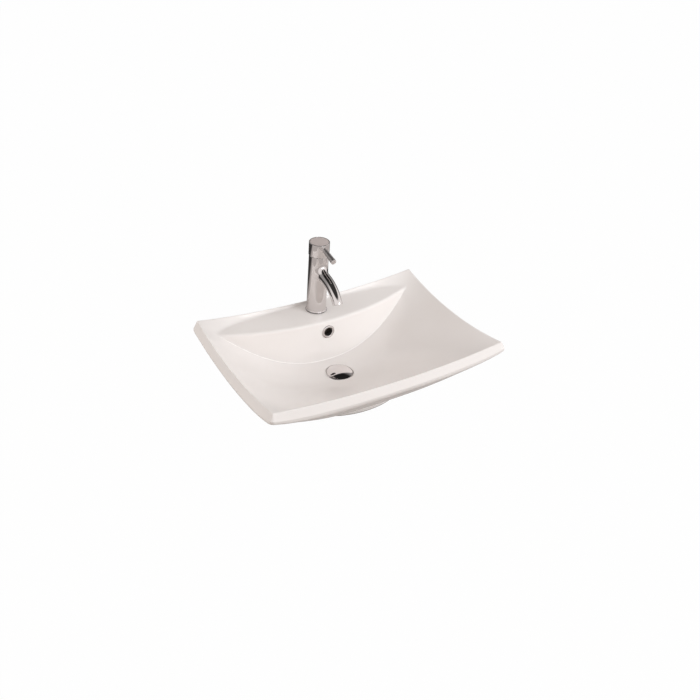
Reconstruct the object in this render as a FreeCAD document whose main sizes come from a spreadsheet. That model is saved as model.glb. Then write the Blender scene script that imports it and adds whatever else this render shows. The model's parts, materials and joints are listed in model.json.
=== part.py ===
"""Counter-top washbasin with a single-lever tap and a click waste, as an assembly of separate pieces.

The origin is on the waste axis, on the counter plane. +X is right, +Y is back, +Z is up, in millimetres.
"""
import FreeCAD, Part
import math
import os
import re
import Sketcher

V = FreeCAD.Vector
doc = FreeCAD.newDocument("washbasin")

# Driving dimensions, in millimetres, degrees and plain numbers
DIMENSIONS = {
    # bowl, plan and rim
    "basin_width": 608,
    "basin_depth": 398,
    "plan_corner_radius": 14,
    "corner_height": 159,
    "front_sag": 18.5,
    "side_sag": 22,
    "band_height": 27,
    "lip_width": 9,
    "lip_radius": 12,
    "band_radius": 8,
    # bowl, inside of the dish
    "floor_height": 21,
    "dish_front_share": 0.4,
    "dish_back_power": 3.2,
    "dish_side_power": 2.2,
    # bowl, underside
    "ceramic_wall": 12,
    "rim_solid": 19,
    "belly_height": 5,
    "belly_front_power": 2.6,
    "belly_back_power": 3.8,
    "belly_side_power": 3,
    "foot_length": 300,
    "foot_width": 204,
    "foot_forward": 31,
    "foot_wall": 16,
    "foot_root": 26,
    # tap deck and the wall below it
    "deck_drop": 26.5,
    "deck_front": 65,
    "deck_depth": 103,
    "wall_radius": 662,
    "wall_draft_angle": 4,
    "tap_from_wall": 60,
    "tap_hole_radius": 17.5,
    "access_length": 120,
    "access_width": 46,
    # waste boss and overflow duct
    "boss_radius": 42,
    "boss_clearance": 2,
    "waste_hole_radius": 23,
    "waste_seat_radius": 34.2,
    "seat_drop": 2.5,
    "duct_width": 44,
    "duct_wall": 5,
    "chase_width": 30,
    "chase_depth": 9,
    "duct_roof": 14,
    "tunnel_height": 6,
    "tunnel_floor": 4,
    "overflow_drop": 30,
    "overflow_hole_radius": 12.6,
    "overflow_ring_radius": 17.5,
    "overflow_ring_bore": 10.5,
    "overflow_ring_proud": 2.4,
    "overflow_sleeve_length": 9,
    # waste
    "flange_radius": 32,
    "flange_thickness": 2.5,
    "flange_gasket": 1.5,
    "waste_thread_radius": 20.95,
    "waste_wall": 2.4,
    "waste_tail_drop": 62,
    "waste_chamfer": 3.5,
    "runout_gap": 2,
    "runout_width": 3,
    "runout_depth": 0.8,
    "slot_width": 13,
    "spider_drop": 18,
    "spider_height": 5,
    "spoke_width": 3.2,
    "hub_radius": 7,
    "back_gasket_height": 8,
    "back_gasket_radius": 31,
    "back_gasket_taper": 4,
    "waste_washer_height": 2,
    "waste_nut_height": 11,
    "waste_nut_flat": 27,
    # click plunger and cap
    "barrel_radius": 6.4,
    "barrel_bore": 4.1,
    "barrel_top": 18,
    "barrel_floor": 2,
    "barrel_stud_radius": 3.9,
    "barrel_stud_length": 5,
    "stem_radius": 4,
    "stem_end_height": 2,
    "stem_screw_radius": 3,
    "stem_screw_length": 5,
    "cap_gap": 0.6,
    "dome_radius": 33,
    "dome_height": 6.5,
    "dome_edge": 1.5,
    "dome_boss_radius": 7,
    "dome_roof": 3.4,
    "dome_recess": 2,
    "seal_inner_radius": 22.8,
    "seal_outer_radius": 26,
    "seal_gap": 0.2,
    # tap body and spout
    "base_gasket_height": 1.2,
    "base_gasket_bore": 19,
    "base_ring_radius": 25.6,
    "base_ring_height": 6,
    "base_ring_chamfer": 1.2,
    "spigot_radius": 21.3,
    "body_foot_radius": 24.1,
    "body_top_radius": 22.7,
    "body_height": 150,
    "body_chamfer": 0.8,
    "spout_drop": 50,
    "spout_straight": 33.5,
    "spout_bend_radius": 73.5,
    "spout_bend_angle": 58,
    "spout_radius": 12,
    "spout_fillet": 6,
    "waterway_radius": 7,
    "waterway_start": 9,
    "inlet_spacing": 14,
    "inlet_front": 5,
    "inlet_thread_radius": 5,
    "inlet_thread_depth": 16,
    "inlet_bore": 2.8,
    "mixed_back": 6,
    "mixed_bore": 3,
    # tap fixing under the deck
    "stud_back": 9.5,
    "stud_radius": 3.9,
    "stud_length": 50,
    "stud_grip": 14,
    "horseshoe_radius": 21,
    "horseshoe_slot": 31,
    "horseshoe_stop": 2,
    "horseshoe_gasket": 2,
    "horseshoe_plate": 3,
    "fixing_nut_height": 12,
    "fixing_nut_flat": 6.5,
    # aerator
    "aerator_bore": 10.6,
    "aerator_depth": 13,
    "aerator_lip": 1,
    "aerator_lip_radius": 11.4,
    "aerator_wall": 1.7,
    "aerator_seal": 1.2,
    "insert_height": 7,
    "insert_inset": 1.2,
    "insert_hole_radius": 1.3,
    "insert_hole_ring": 5.2,
    # cartridge
    "cartridge_depth": 38,
    "cartridge_bore": 17.6,
    "cartridge_wall": 2.2,
    "cartridge_base": 2.2,
    "cartridge_seal": 1.2,
    "cartridge_lip": 2,
    "cartridge_mouth": 12.8,
    "cartridge_nut": 3,
    "disc_height": 3.4,
    "moving_disc_radius": 12,
    "moving_disc_height": 7.2,
    "pocket_width": 15,
    "pocket_front": 1.4,
    "pocket_back": 8.5,
    "pocket_depth": 1.5,
    "ball_drop": 7,
    "ball_radius": 2.4,
    "ball_neck": 1.6,
    "socket_clearance": 0.2,
    "socket_floor": 0.8,
    "carrier_clearance": 0.35,
    "carrier_under": 3,
    "carrier_slot": 8.6,
    "carrier_slot_front": 5,
    "carrier_slot_back": 10.6,
    "pivot_depth": 20,
    "pin_radius": 1.5,
    "spindle_radius": 4,
    # handle
    "joint_gap": 1,
    "cap_radius": 24.9,
    "cap_height": 32,
    "cap_skirt": 1.4,
    "cap_crown": 17,
    "cap_edge": 0.8,
    "handle_boss_radius": 8,
    "handle_boss_length": 10,
    "spindle_grip": 10,
    "top_disc_radius": 22.2,
    "top_disc_height": 2,
    "lever_root_drop": 9.5,
    "lever_droop_angle": 13,
    "lever_root_radius": 3.2,
    "lever_tip_radius": 6.8,
    "lever_start": 13,
    "lever_waist": 26,
    "lever_reach": 66,
    "lever_edge": 1.6,
    "grub_radius": 2.4,
    "grub_drop": 5,
    "grub_access": 2.8,
    # fits and margins
    "thread_fit": 0.05,
    "loose_fit": 0.2,
    "cut_overrun": 10,
    "slope_step": 0.5,
}

# Counts that sizes don't change
ACROSS_COUNT = 27
ALONG_COUNT = 25
INSERT_HOLE_COUNT = 6
FULL_ANGLE = 360

sheet = doc.addObject("Spreadsheet::Sheet", "dims")
for row, (alias, number) in enumerate(DIMENSIONS.items(), start=1):
    sheet.set(f"A{row}", alias)
    sheet.set(f"B{row}", str(number))
    sheet.setAlias(f"B{row}", alias)
doc.recompute()

ALIAS = re.compile(r"[a-z]+(?:_[a-z]+)+")

# Levels and places that several pieces share, as formulas of the sheet's cells
PLAN_BACK = "(deck_front + deck_depth)"
PLAN_FRONT = f"({PLAN_BACK} - basin_depth)"
PLAN_MIDDLE = f"({PLAN_BACK} - basin_depth / 2)"
TAP_Y = "(deck_front + tap_from_wall)"
DECK = "(corner_height - deck_drop)"
OVERFLOW = f"({DECK} - overflow_drop)"
OVERFLOW_FACE = "(deck_front - overflow_drop * tan(wall_draft_angle))"
WASTE_SEAT = "(floor_height - seat_drop)"
FLANGE_UNDER = f"({WASTE_SEAT} + flange_gasket)"
FLANGE_TOP = f"({FLANGE_UNDER} + flange_thickness)"
WASTE_BORE = "(waste_thread_radius - waste_wall)"
TUNNEL_LOW = "(boss_clearance + tunnel_floor)"
TUNNEL_HIGH = f"({TUNNEL_LOW} + tunnel_height)"
GASKET_LOW = "(boss_clearance - back_gasket_height)"
WASHER_LOW = f"({GASKET_LOW} - waste_washer_height)"
NUT_LOW = f"({WASHER_LOW} - waste_nut_height)"
HUB_TOP = "(spider_height - spider_drop)"
BARREL_FLOOR = f"({HUB_TOP} + barrel_floor)"
DOME_LOW = f"({FLANGE_TOP} + cap_gap)"
DOME_SCREW_TOP = f"({DOME_LOW} + dome_height - dome_roof)"

BODY_LOW = f"({DECK} + base_gasket_height)"
RING_TOP = f"({BODY_LOW} + base_ring_height)"
BODY_TOP = f"({DECK} + body_height)"
SEAT = f"({BODY_TOP} - cartridge_depth)"
SPOUT_RISE = "(body_height - spout_drop)"
SPOUT_Z = f"({DECK} + {SPOUT_RISE})"
HOUSING_LOW = f"({SEAT} + cartridge_seal)"
DISC_LOW = f"({HOUSING_LOW} + cartridge_base)"
DISC_TOP = f"({DISC_LOW} + disc_height)"
MOVING_TOP = f"({DISC_TOP} + moving_disc_height)"
HOUSING_TOP = f"({BODY_TOP} - cartridge_nut)"
CAP_LOW = f"({BODY_TOP} + joint_gap)"
CAP_TOP = f"({CAP_LOW} + cap_height)"
CROWN_LOW = f"({CAP_TOP} - cap_crown)"
BOSS_LOW = f"({CROWN_LOW} - handle_boss_length)"
PIVOT = f"({CAP_LOW} - pivot_depth)"
HOUSING_RADIUS = "(cartridge_bore - loose_fit)"
HOUSING_BORE = f"({HOUSING_RADIUS} - cartridge_wall)"
DECK_UNDER = f"({DECK} - ceramic_wall)"
PLATE_TOP = f"({DECK_UNDER} - horseshoe_gasket)"
PLATE_LOW = f"({PLATE_TOP} - horseshoe_plate)"
OUTLET_Y = f"({TAP_Y} - spout_straight - spout_bend_radius * sin(spout_bend_angle))"
OUTLET_Z = f"({SPOUT_Z} - spout_bend_radius * (1 - cos(spout_bend_angle)))"
OUTLET_TURN = "(90 + spout_bend_angle)"
LEVER_Z = f"({CAP_TOP} - lever_root_drop + cap_radius * tan(lever_droop_angle))"
LEVER_TURN = "(90 + lever_droop_angle)"
GRUB_Z = f"({CROWN_LOW} - grub_drop)"


def bound(formula):
    """The formula with every alias pointing at its cell of the sheet."""
    return ALIAS.sub(lambda found: "dims." + found.group(), formula)


def value(formula):
    """The number that a formula has now."""
    return float(sheet.evalExpression(bound(formula)))


def drive(item, prop, formula):
    """Bind one property of an object to a formula."""
    item.setExpression(prop, bound(formula))


def place(item, x="0", y="0", z="0", turn="0"):
    """Put an object at x, y, z, turned about X by some degrees."""
    rotation = FreeCAD.Rotation(V(1, 0, 0), value(turn))
    item.Placement = FreeCAD.Placement(V(value(x), value(y), value(z)), rotation)
    for axis, formula in zip("xyz", (x, y, z)):
        drive(item, "Placement.Base." + axis, formula)
    if turn != "0":
        drive(item, "Placement.Rotation.Angle", turn)
    return item


def new_body(label):
    """An empty solid body."""
    body = doc.addObject("PartDesign::Body", label)
    body.Label = label
    return body


def new_sketch(body, role, name):
    """A sketch on one of a body's own origin planes."""
    planes = [plane for plane in body.Origin.OriginFeatures if plane.Role == role]
    sketch = body.newObject("Sketcher::SketchObject", name)
    sketch.AttachmentSupport = [(planes[0], "")]
    sketch.MapMode = "FlatFace"
    return sketch


def constrain(sketch, kind, formula, *where):
    """A dimension of a sketch, bound to a formula."""
    index = sketch.addConstraint(Sketcher.Constraint(kind, *where, value(formula)))
    drive(sketch, f"Constraints[{index}]", formula)


def pin_point(sketch, shape, end, x, y):
    """Hold one point of a sketch at x, y."""
    constrain(sketch, "DistanceX", x, -1, 1, shape, end)
    constrain(sketch, "DistanceY", y, -1, 1, shape, end)


def round_stretch(start, stop, radius):
    """An arc under a half circle from start to stop, its centre on the left of the way."""
    way = stop - start
    middle = (start + stop) * 0.5
    left = V(-way.y, way.x, 0).normalize()
    centre = middle + left * math.sqrt(radius ** 2 - (way.Length / 2) ** 2)
    first = math.atan2(start.y - centre.y, start.x - centre.x)
    last = math.atan2(stop.y - centre.y, stop.x - centre.x)
    return Part.ArcOfCircle(Part.Circle(centre, V(0, 0, 1), radius), first, last)


def outline(sketch, corners, closed=True):
    """Lines and arcs through corners, each a pair of formulas.

    A third entry is the radius of a round stretch to the next corner, its centre on the left of the way."""
    points = [V(value(corner[0]), value(corner[1]), 0) for corner in corners]
    count = len(corners) if closed else len(corners) - 1
    for index in range(count):
        corner = corners[index]
        start, stop = points[index], points[(index + 1) % len(points)]
        if len(corner) == 2:
            sketch.addGeometry(Part.LineSegment(start, stop), False)
        else:
            sketch.addGeometry(round_stretch(start, stop, value(corner[2])), False)
            constrain(sketch, "Radius", corner[2], index)
        pin_point(sketch, index, 1, corner[0], corner[1])
    for index in range(count if closed else count - 1):
        following = (index + 1) % count
        sketch.addConstraint(Sketcher.Constraint("Coincident", index, 2, following, 1))
    if not closed:
        pin_point(sketch, count - 1, 2, corners[-1][0], corners[-1][1])


def ring_outline(sketch, radius, x="0", y="0"):
    """A full circle about x, y."""
    index = sketch.addGeometry(Part.Circle(V(value(x), value(y), 0), V(0, 0, 1), value(radius)), False)
    constrain(sketch, "Radius", radius, index)
    pin_point(sketch, index, 3, x, y)


def turned(label, corners, x="0", y="0", z="0", turn="0"):
    """A piece turned about its own Z axis from half its section."""
    body = new_body(label)
    section = new_sketch(body, "XZ_Plane", label + "_section")
    outline(section, corners)
    revolution = body.newObject("PartDesign::Revolution", label + "_revolution")
    revolution.Profile = section
    revolution.ReferenceAxis = (section, ["V_Axis"])
    revolution.Angle = FULL_ANGLE
    return place(body, x, y, z, turn)


def ring(label, bore, radius, low, high, **where):
    """A plain turned ring, or a disc where the bore is 0."""
    return turned(label, [(bore, low), (radius, low), (radius, high), (bore, high)], **where)


def padded(label, corners, length, draft="0", **where):
    """A block of one outline, grown downwards from its own XY plane."""
    body = new_body(label)
    plan = new_sketch(body, "XY_Plane", label + "_plan")
    outline(plan, corners)
    pad = body.newObject("PartDesign::Pad", label + "_pad")
    pad.Profile = plan
    pad.Reversed = True
    drive(pad, "Length", length)
    drive(pad, "TaperAngle", draft)
    return place(body, **where)


def cylinder(label, radius, height, **where):
    """A plain round bar or the tool for a round hole."""
    bar = doc.addObject("Part::Cylinder", label)
    drive(bar, "Radius", radius)
    drive(bar, "Height", height)
    return place(bar, **where)


def box(label, length, width, height, y="0", z="0"):
    """A block centred on X, from y backwards and from z upwards."""
    block = doc.addObject("Part::Box", label)
    for prop, formula in (("Length", length), ("Width", width), ("Height", height)):
        drive(block, prop, formula)
    return place(block, f"-({length}) / 2", y, z)


def hexagon(label, flat, height, **where):
    """A six-sided bar, flat from its axis to each side."""
    bar = doc.addObject("Part::Prism", label)
    bar.Polygon = 6
    drive(bar, "Circumradius", f"{flat} / cos(30)")
    drive(bar, "Height", height)
    return place(bar, **where)


def fuse(label, *items):
    """Several shapes as one."""
    joined = doc.addObject("Part::MultiFuse", label)
    joined.Shapes = list(items)
    return joined


def cut(label, base, *tools):
    """A shape with others taken away."""
    result = doc.addObject("Part::Cut", label)
    result.Base = base
    result.Tool = tools[0] if len(tools) == 1 else fuse(label + "_tools", *tools)
    return result


def common(label, base, tool):
    """What two shapes share."""
    result = doc.addObject("Part::Common", label)
    result.Base = base
    result.Tool = tool
    return result


# Heights of the bowl's curved faces, over the plan
def plan_share(y, inset):
    """How far back from the plan's centre, as a share of half its depth drawn in by an inset."""
    return (y - value(PLAN_MIDDLE)) / (value("basin_depth / 2") - inset)


def across_share(x, inset):
    """How far from the middle to a side, as a share of half the width drawn in by an inset."""
    return abs(x) / (value("basin_width / 2") - inset)


def lip_height(x, y):
    """The rim's top: lowest at the middle of each side, highest at the corners."""
    inset = value("lip_width")
    front_drop = value("front_sag") * (1 - across_share(x, inset) ** value("dish_side_power"))
    side_drop = value("side_sag") * (1 - plan_share(y, inset) ** 2)
    return value("corner_height") - front_drop - side_drop


def dish_height(x, y):
    """The dish: arcs across, a long easy slope in front of the waste and a steep one behind."""
    inset = value("lip_width")
    if y < 0:
        ease = value("dish_front_share")
        share = -y / (value(f"-{PLAN_FRONT}") - inset)
        rise = (math.hypot(share, ease) - ease) / (math.hypot(1, ease) - ease)
    else:
        rise = (y / (value(PLAN_BACK) - inset)) ** value("dish_back_power")
    floor = value("floor_height")
    middle = floor + (value("corner_height - front_sag") - floor) * rise
    side = value("corner_height") - value("side_sag") * (1 - plan_share(y, inset) ** 2)
    return middle + (side - middle) * across_share(x, inset) ** value("dish_side_power")


def belly_height(x, y):
    """The underside: steep below the band, flattening towards the foot and fuller behind it."""
    belly = value("belly_height")
    corner = value("corner_height - band_height")
    share = plan_share(y, 0)
    power = value("belly_front_power" if share < 0 else "belly_back_power")
    middle = belly + (corner - value("front_sag") - belly) * abs(share) ** power
    side = corner - value("side_sag") * (1 - share ** 2)
    return middle + (side - middle) * across_share(x, 0) ** value("belly_side_power")


def moved_along_normal(height_at, distance):
    """A height function moved along its own normal, upwards if the distance is positive."""
    step = value("slope_step")

    def moved(x, y):
        slope_x = (height_at(x + step, y) - height_at(x - step, y)) / (2 * step)
        slope_y = (height_at(x, y + step) - height_at(x, y - step)) / (2 * step)
        return height_at(x, y) + distance * math.sqrt(1 + slope_x ** 2 + slope_y ** 2)

    return moved


def spread(low, high, count):
    """Evenly spaced numbers from low to high."""
    return [low + (high - low) * index / (count - 1) for index in range(count)]


def above(label, height_at):
    """Everything above a height function, over the plan and a margin, as one solid."""
    margin = value("cut_overrun")
    side = value("basin_width / 2") + margin
    columns = spread(-side, side, ACROSS_COUNT)
    rows = spread(value(PLAN_FRONT) - margin, value(PLAN_BACK) + margin, ALONG_COUNT)
    surface = Part.BSplineSurface()
    surface.interpolate([[V(x, y, height_at(x, y)) for y in rows] for x in columns])
    solid = doc.addObject("Part::Feature", label)
    solid.Shape = surface.toShape().extrude(V(0, 0, value("corner_height") + margin))
    return solid


def plan_block(label, inset):
    """The rounded rectangle of the plan, drawn in by an inset, over the bowl's whole height."""
    half_x = f"(basin_width / 2 - {inset})"
    half_y = f"(basin_depth / 2 - {inset})"
    radius = "plan_corner_radius"
    short_x = f"({half_x} - {radius})"
    short_y = f"({half_y} - {radius})"
    corners = [(short_x, f"-{half_y}", radius), (half_x, f"-{short_y}"),
               (half_x, short_y, radius), (short_x, half_y),
               (f"-{short_x}", half_y, radius), (f"-{half_x}", short_y),
               (f"-{half_x}", f"-{short_y}", radius), (f"-{short_x}", f"-{half_y}")]
    top = "(corner_height + cut_overrun)"
    return padded(label, corners, top, y=PLAN_MIDDLE, z=top)


def deck_block(label, inset):
    """What lies below the deck and behind the wall, drawn in by an inset."""
    radius = f"(wall_radius - {inset})"
    side = "(basin_width / 2 + cut_overrun)"
    ends = f"(deck_front + wall_radius - sqrt({radius} ^ 2 - {side} ^ 2))"
    back = f"(max({PLAN_BACK}; {ends}) + cut_overrun)"
    corners = [(f"-{side}", ends, radius), (side, ends), (side, back), (f"-{side}", back)]
    top = f"({DECK} - {inset})"
    return padded(label, corners, f"{top} + cut_overrun", "wall_draft_angle", z=top)


def oval(label, length, width, y, low, high):
    """An upright oval bar, its longer axis along X."""
    curve = doc.addObject("Part::Ellipse", label + "_line")
    drive(curve, "MajorRadius", f"({length}) / 2")
    drive(curve, "MinorRadius", f"({width}) / 2")
    bar = doc.addObject("Part::Extrusion", label)
    bar.Base = curve
    bar.DirMode = "Custom"
    bar.Dir = V(0, 0, 1)
    bar.Solid = True
    drive(bar, "LengthFwd", f"{high} - {low}")
    place(curve, y=y, z=low)
    return bar


def rounded_band(rimmed):
    """The band round the plan, its lip and its lower edge rounded."""
    doc.recompute()
    half_x = value("basin_width / 2")
    half_y = value("basin_depth / 2")
    radius = value("plan_corner_radius")
    near = value("thread_fit")
    edges = []
    for index, edge in enumerate(rimmed.Shape.Edges, start=1):
        start, stop = edge.Vertexes[0].Point, edge.Vertexes[-1].Point
        middle = edge.valueAt((edge.FirstParameter + edge.LastParameter) / 2)
        out_x = half_x - abs(middle.x)
        out_y = half_y - abs(middle.y - value(PLAN_MIDDLE))
        level = abs(start.z - stop.z) < radius / 2
        if level and (min(out_x, out_y) < near or max(out_x, out_y) < radius):
            top = middle.z > lip_height(middle.x, middle.y) - value("band_height / 2")
            size = value("lip_radius") if top else value("band_radius")
            edges.append((index, size, size))
    band = doc.addObject("Part::Fillet", "bowl_band")
    band.Base = rimmed
    band.Edges = edges
    return band


def make_bowl():
    """The ceramic: one skin round an open underside, with the foot, waste boss and overflow duct."""
    block = common("bowl_block", plan_block("plan_outer", "0"), above("belly_outer", belly_height))
    rimmed = cut("bowl_rimmed", block, above("lip_outer", lip_height))
    foot = oval("foot_outer", "foot_length", "foot_width", "-foot_forward", "0", "foot_root")
    footed = fuse("bowl_footed", rounded_band(rimmed), foot)
    air = cut("dish_air", above("dish_inside", dish_height), deck_block("deck_outer", "0"))

    lifted = moved_along_normal(belly_height, value("ceramic_wall"))
    lowered = moved_along_normal(dish_height, -value("ceramic_wall"))
    core = common("core_block", plan_block("plan_core", "rim_solid"), above("belly_core", lifted))
    foot_hole = oval("foot_core", "foot_length - 2 * foot_wall", "foot_width - 2 * foot_wall",
                     "-foot_forward", "-cut_overrun", "foot_root")
    access = oval("tap_access", "access_length", "access_width", TAP_Y, "-cut_overrun",
                  f"{DECK_UNDER} - ceramic_wall / 4")
    opened = fuse("core_open", core, foot_hole, access)
    skin = cut("dish_skin", above("dish_core", lowered), deck_block("deck_core", "ceramic_wall"))
    hollow = cut("bowl_hollow", opened, skin)
    shell = cut("bowl_shell", footed, fuse("bowl_spaces", air, hollow))

    boss_top = f"({WASTE_SEAT} - ceramic_wall / 4)"
    boss_height = f"({boss_top} - boss_clearance)"
    boss = cylinder("waste_boss", "boss_radius", boss_height, z="boss_clearance")
    chase_front = "(deck_front + duct_wall)"
    chase_back = f"({chase_front} + chase_depth)"
    duct_back = f"({chase_back} + duct_wall)"
    duct_front = f"({chase_front} - duct_wall / 2)"
    riser_height = f"({DECK_UNDER} + duct_wall / 2 - boss_clearance)"
    riser = box("duct_riser", "duct_width", f"{duct_back} - {duct_front}", riser_height,
                duct_front, "boss_clearance")
    run = box("duct_run", "duct_width", duct_back, boss_height, z="boss_clearance")
    body = fuse("bowl_body", shell, boss, riser, run)

    chase_top = f"({OVERFLOW} + duct_roof)"
    chase = box("duct_chase", "chase_width", "chase_depth", f"{chase_top} - {TUNNEL_LOW}",
                chase_front, TUNNEL_LOW)
    tunnel = box("duct_tunnel", "chase_width", chase_back, "tunnel_height", z=TUNNEL_LOW)
    tall = "(corner_height + 2 * cut_overrun)"
    drain = cylinder("waste_hole", "waste_hole_radius", tall, z="-cut_overrun")
    seat = cylinder("waste_recess", "waste_seat_radius", "cut_overrun", z=WASTE_SEAT)
    tap_hole = cylinder("tap_hole", "tap_hole_radius", "2 * ceramic_wall", y=TAP_Y,
                        z=f"{DECK} - 2 * ceramic_wall + cut_overrun")
    inward = f"({chase_front} - {OVERFLOW_FACE} + chase_depth / 2)"
    mouth = cylinder("overflow_hole", "overflow_hole_radius", f"{inward} + cut_overrun",
                     y=f"{OVERFLOW_FACE} + {inward} * cos(wall_draft_angle)",
                     z=f"{OVERFLOW} - {inward} * sin(wall_draft_angle)", turn="90 - wall_draft_angle")
    return cut("basin_bowl", body, chase, tunnel, drain, seat, tap_hole, mouth)


def make_overflow_ring():
    """A ring on the wall with a sleeve in the overflow hole."""
    sleeve = "(overflow_hole_radius - loose_fit)"
    corners = [("overflow_ring_bore", "-overflow_sleeve_length"), (sleeve, "-overflow_sleeve_length"),
               (sleeve, "0"), ("overflow_ring_radius", "0"),
               ("overflow_ring_radius - overflow_ring_proud / 2", "overflow_ring_proud"),
               ("overflow_ring_bore + overflow_ring_proud / 2", "overflow_ring_proud"),
               ("overflow_ring_bore", "overflow_ring_proud / 2")]
    return turned("overflow_ring", corners, y=OVERFLOW_FACE, z=OVERFLOW, turn="90 - wall_draft_angle")


def make_waste():
    """The waste: flanged tube with overflow slots and a spider, its gaskets, washer and nut."""
    sub_parts = []
    tail = "-waste_tail_drop"
    edge = "flange_thickness / 2"
    runout_top = f"({NUT_LOW} - runout_gap)"
    runout_low = f"({runout_top} - runout_width)"
    runout = "waste_thread_radius - runout_depth"
    corners = [(WASTE_BORE, tail), ("waste_thread_radius", tail), ("waste_thread_radius", runout_low),
               (runout, runout_low), (runout, runout_top), ("waste_thread_radius", runout_top),
               ("waste_thread_radius", FLANGE_UNDER),
               ("flange_radius", FLANGE_UNDER), ("flange_radius", f"{FLANGE_TOP} - {edge}"),
               (f"flange_radius - {edge}", FLANGE_TOP), (f"{WASTE_BORE} + waste_chamfer", FLANGE_TOP),
               (WASTE_BORE, f"{FLANGE_TOP} - waste_chamfer")]
    tube = turned("waste_tube", corners)
    hub = cylinder("waste_hub", "hub_radius", "spider_height", z="-spider_drop")
    span = f"(2 * {WASTE_BORE} + waste_wall)"
    spoke_x = box("waste_spoke_x", span, "spoke_width", "spider_height", "-spoke_width / 2", "-spider_drop")
    spoke_y = box("waste_spoke_y", "spoke_width", span, "spider_height", f"-{span} / 2", "-spider_drop")
    solid = fuse("waste_solid", tube, hub, spoke_x, spoke_y)
    reach = "(2 * waste_thread_radius + cut_overrun)"
    slot_x = box("waste_slot_x", reach, "slot_width", "tunnel_height", "-slot_width / 2", TUNNEL_LOW)
    slot_y = box("waste_slot_y", "slot_width", reach, "tunnel_height", f"-{reach} / 2", TUNNEL_LOW)
    stud_hole = cylinder("waste_stud_hole", "barrel_stud_radius + thread_fit", "spider_height",
                         z="-spider_drop")
    sub_parts.append(cut("waste_body", solid, slot_x, slot_y, stud_hole))

    loose = "waste_thread_radius + loose_fit"
    sub_parts.append(ring("waste_flange_gasket", loose, "flange_radius - flange_gasket",
                          WASTE_SEAT, FLANGE_UNDER))
    taper = "(back_gasket_radius - back_gasket_taper)"
    corners = [(loose, GASKET_LOW), (taper, GASKET_LOW), ("back_gasket_radius", "boss_clearance"),
               (loose, "boss_clearance")]
    sub_parts.append(turned("waste_back_gasket", corners))
    sub_parts.append(ring("waste_washer", loose, taper, WASHER_LOW, GASKET_LOW))
    nut = hexagon("waste_nut_bar", "waste_nut_flat", "waste_nut_height", z=NUT_LOW)
    nut_bore = cylinder("waste_nut_bore", "waste_thread_radius + thread_fit", "waste_nut_height", z=NUT_LOW)
    sub_parts.append(cut("waste_back_nut", nut, nut_bore))
    return sub_parts


def make_plunger():
    """The click plunger: barrel on the spider, stem, domed cap and its seal."""
    sub_parts = []
    stud_low = f"({HUB_TOP} - barrel_stud_length)"
    corners = [("0", stud_low), ("barrel_stud_radius", stud_low), ("barrel_stud_radius", HUB_TOP),
               ("barrel_radius", HUB_TOP), ("barrel_radius", "barrel_top"), ("barrel_bore", "barrel_top"),
               ("barrel_bore", BARREL_FLOOR), ("0", BARREL_FLOOR)]
    sub_parts.append(turned("click_barrel", corners))

    shoulder = f"({DOME_SCREW_TOP} - stem_screw_length)"
    corners = [("0", "stem_end_height"), ("stem_radius", "stem_end_height"), ("stem_radius", shoulder),
               ("stem_screw_radius", shoulder), ("stem_screw_radius", DOME_SCREW_TOP),
               ("0", DOME_SCREW_TOP)]
    sub_parts.append(turned("plunger_stem", corners))

    crown = f"({DOME_LOW} + dome_height)"
    edge_top = f"({DOME_LOW} + dome_edge)"
    recess = f"({DOME_LOW} + dome_recess)"
    dome = "((dome_radius ^ 2 + (dome_height - dome_edge) ^ 2) / (2 * (dome_height - dome_edge)))"
    screw = "stem_screw_radius + thread_fit"
    boss_radius = "dome_boss_radius"
    corners = [("0", DOME_SCREW_TOP), (screw, DOME_SCREW_TOP), (screw, shoulder), (boss_radius, shoulder),
               (boss_radius, recess), ("seal_outer_radius + thread_fit", recess),
               ("seal_outer_radius + thread_fit", DOME_LOW), ("dome_radius", DOME_LOW),
               ("dome_radius", edge_top, dome), ("0", crown)]
    sub_parts.append(turned("waste_cap", corners))
    sub_parts.append(ring("cap_seal", "seal_inner_radius", "seal_outer_radius",
                          f"{FLANGE_TOP} + seal_gap", recess))
    return sub_parts


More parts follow.
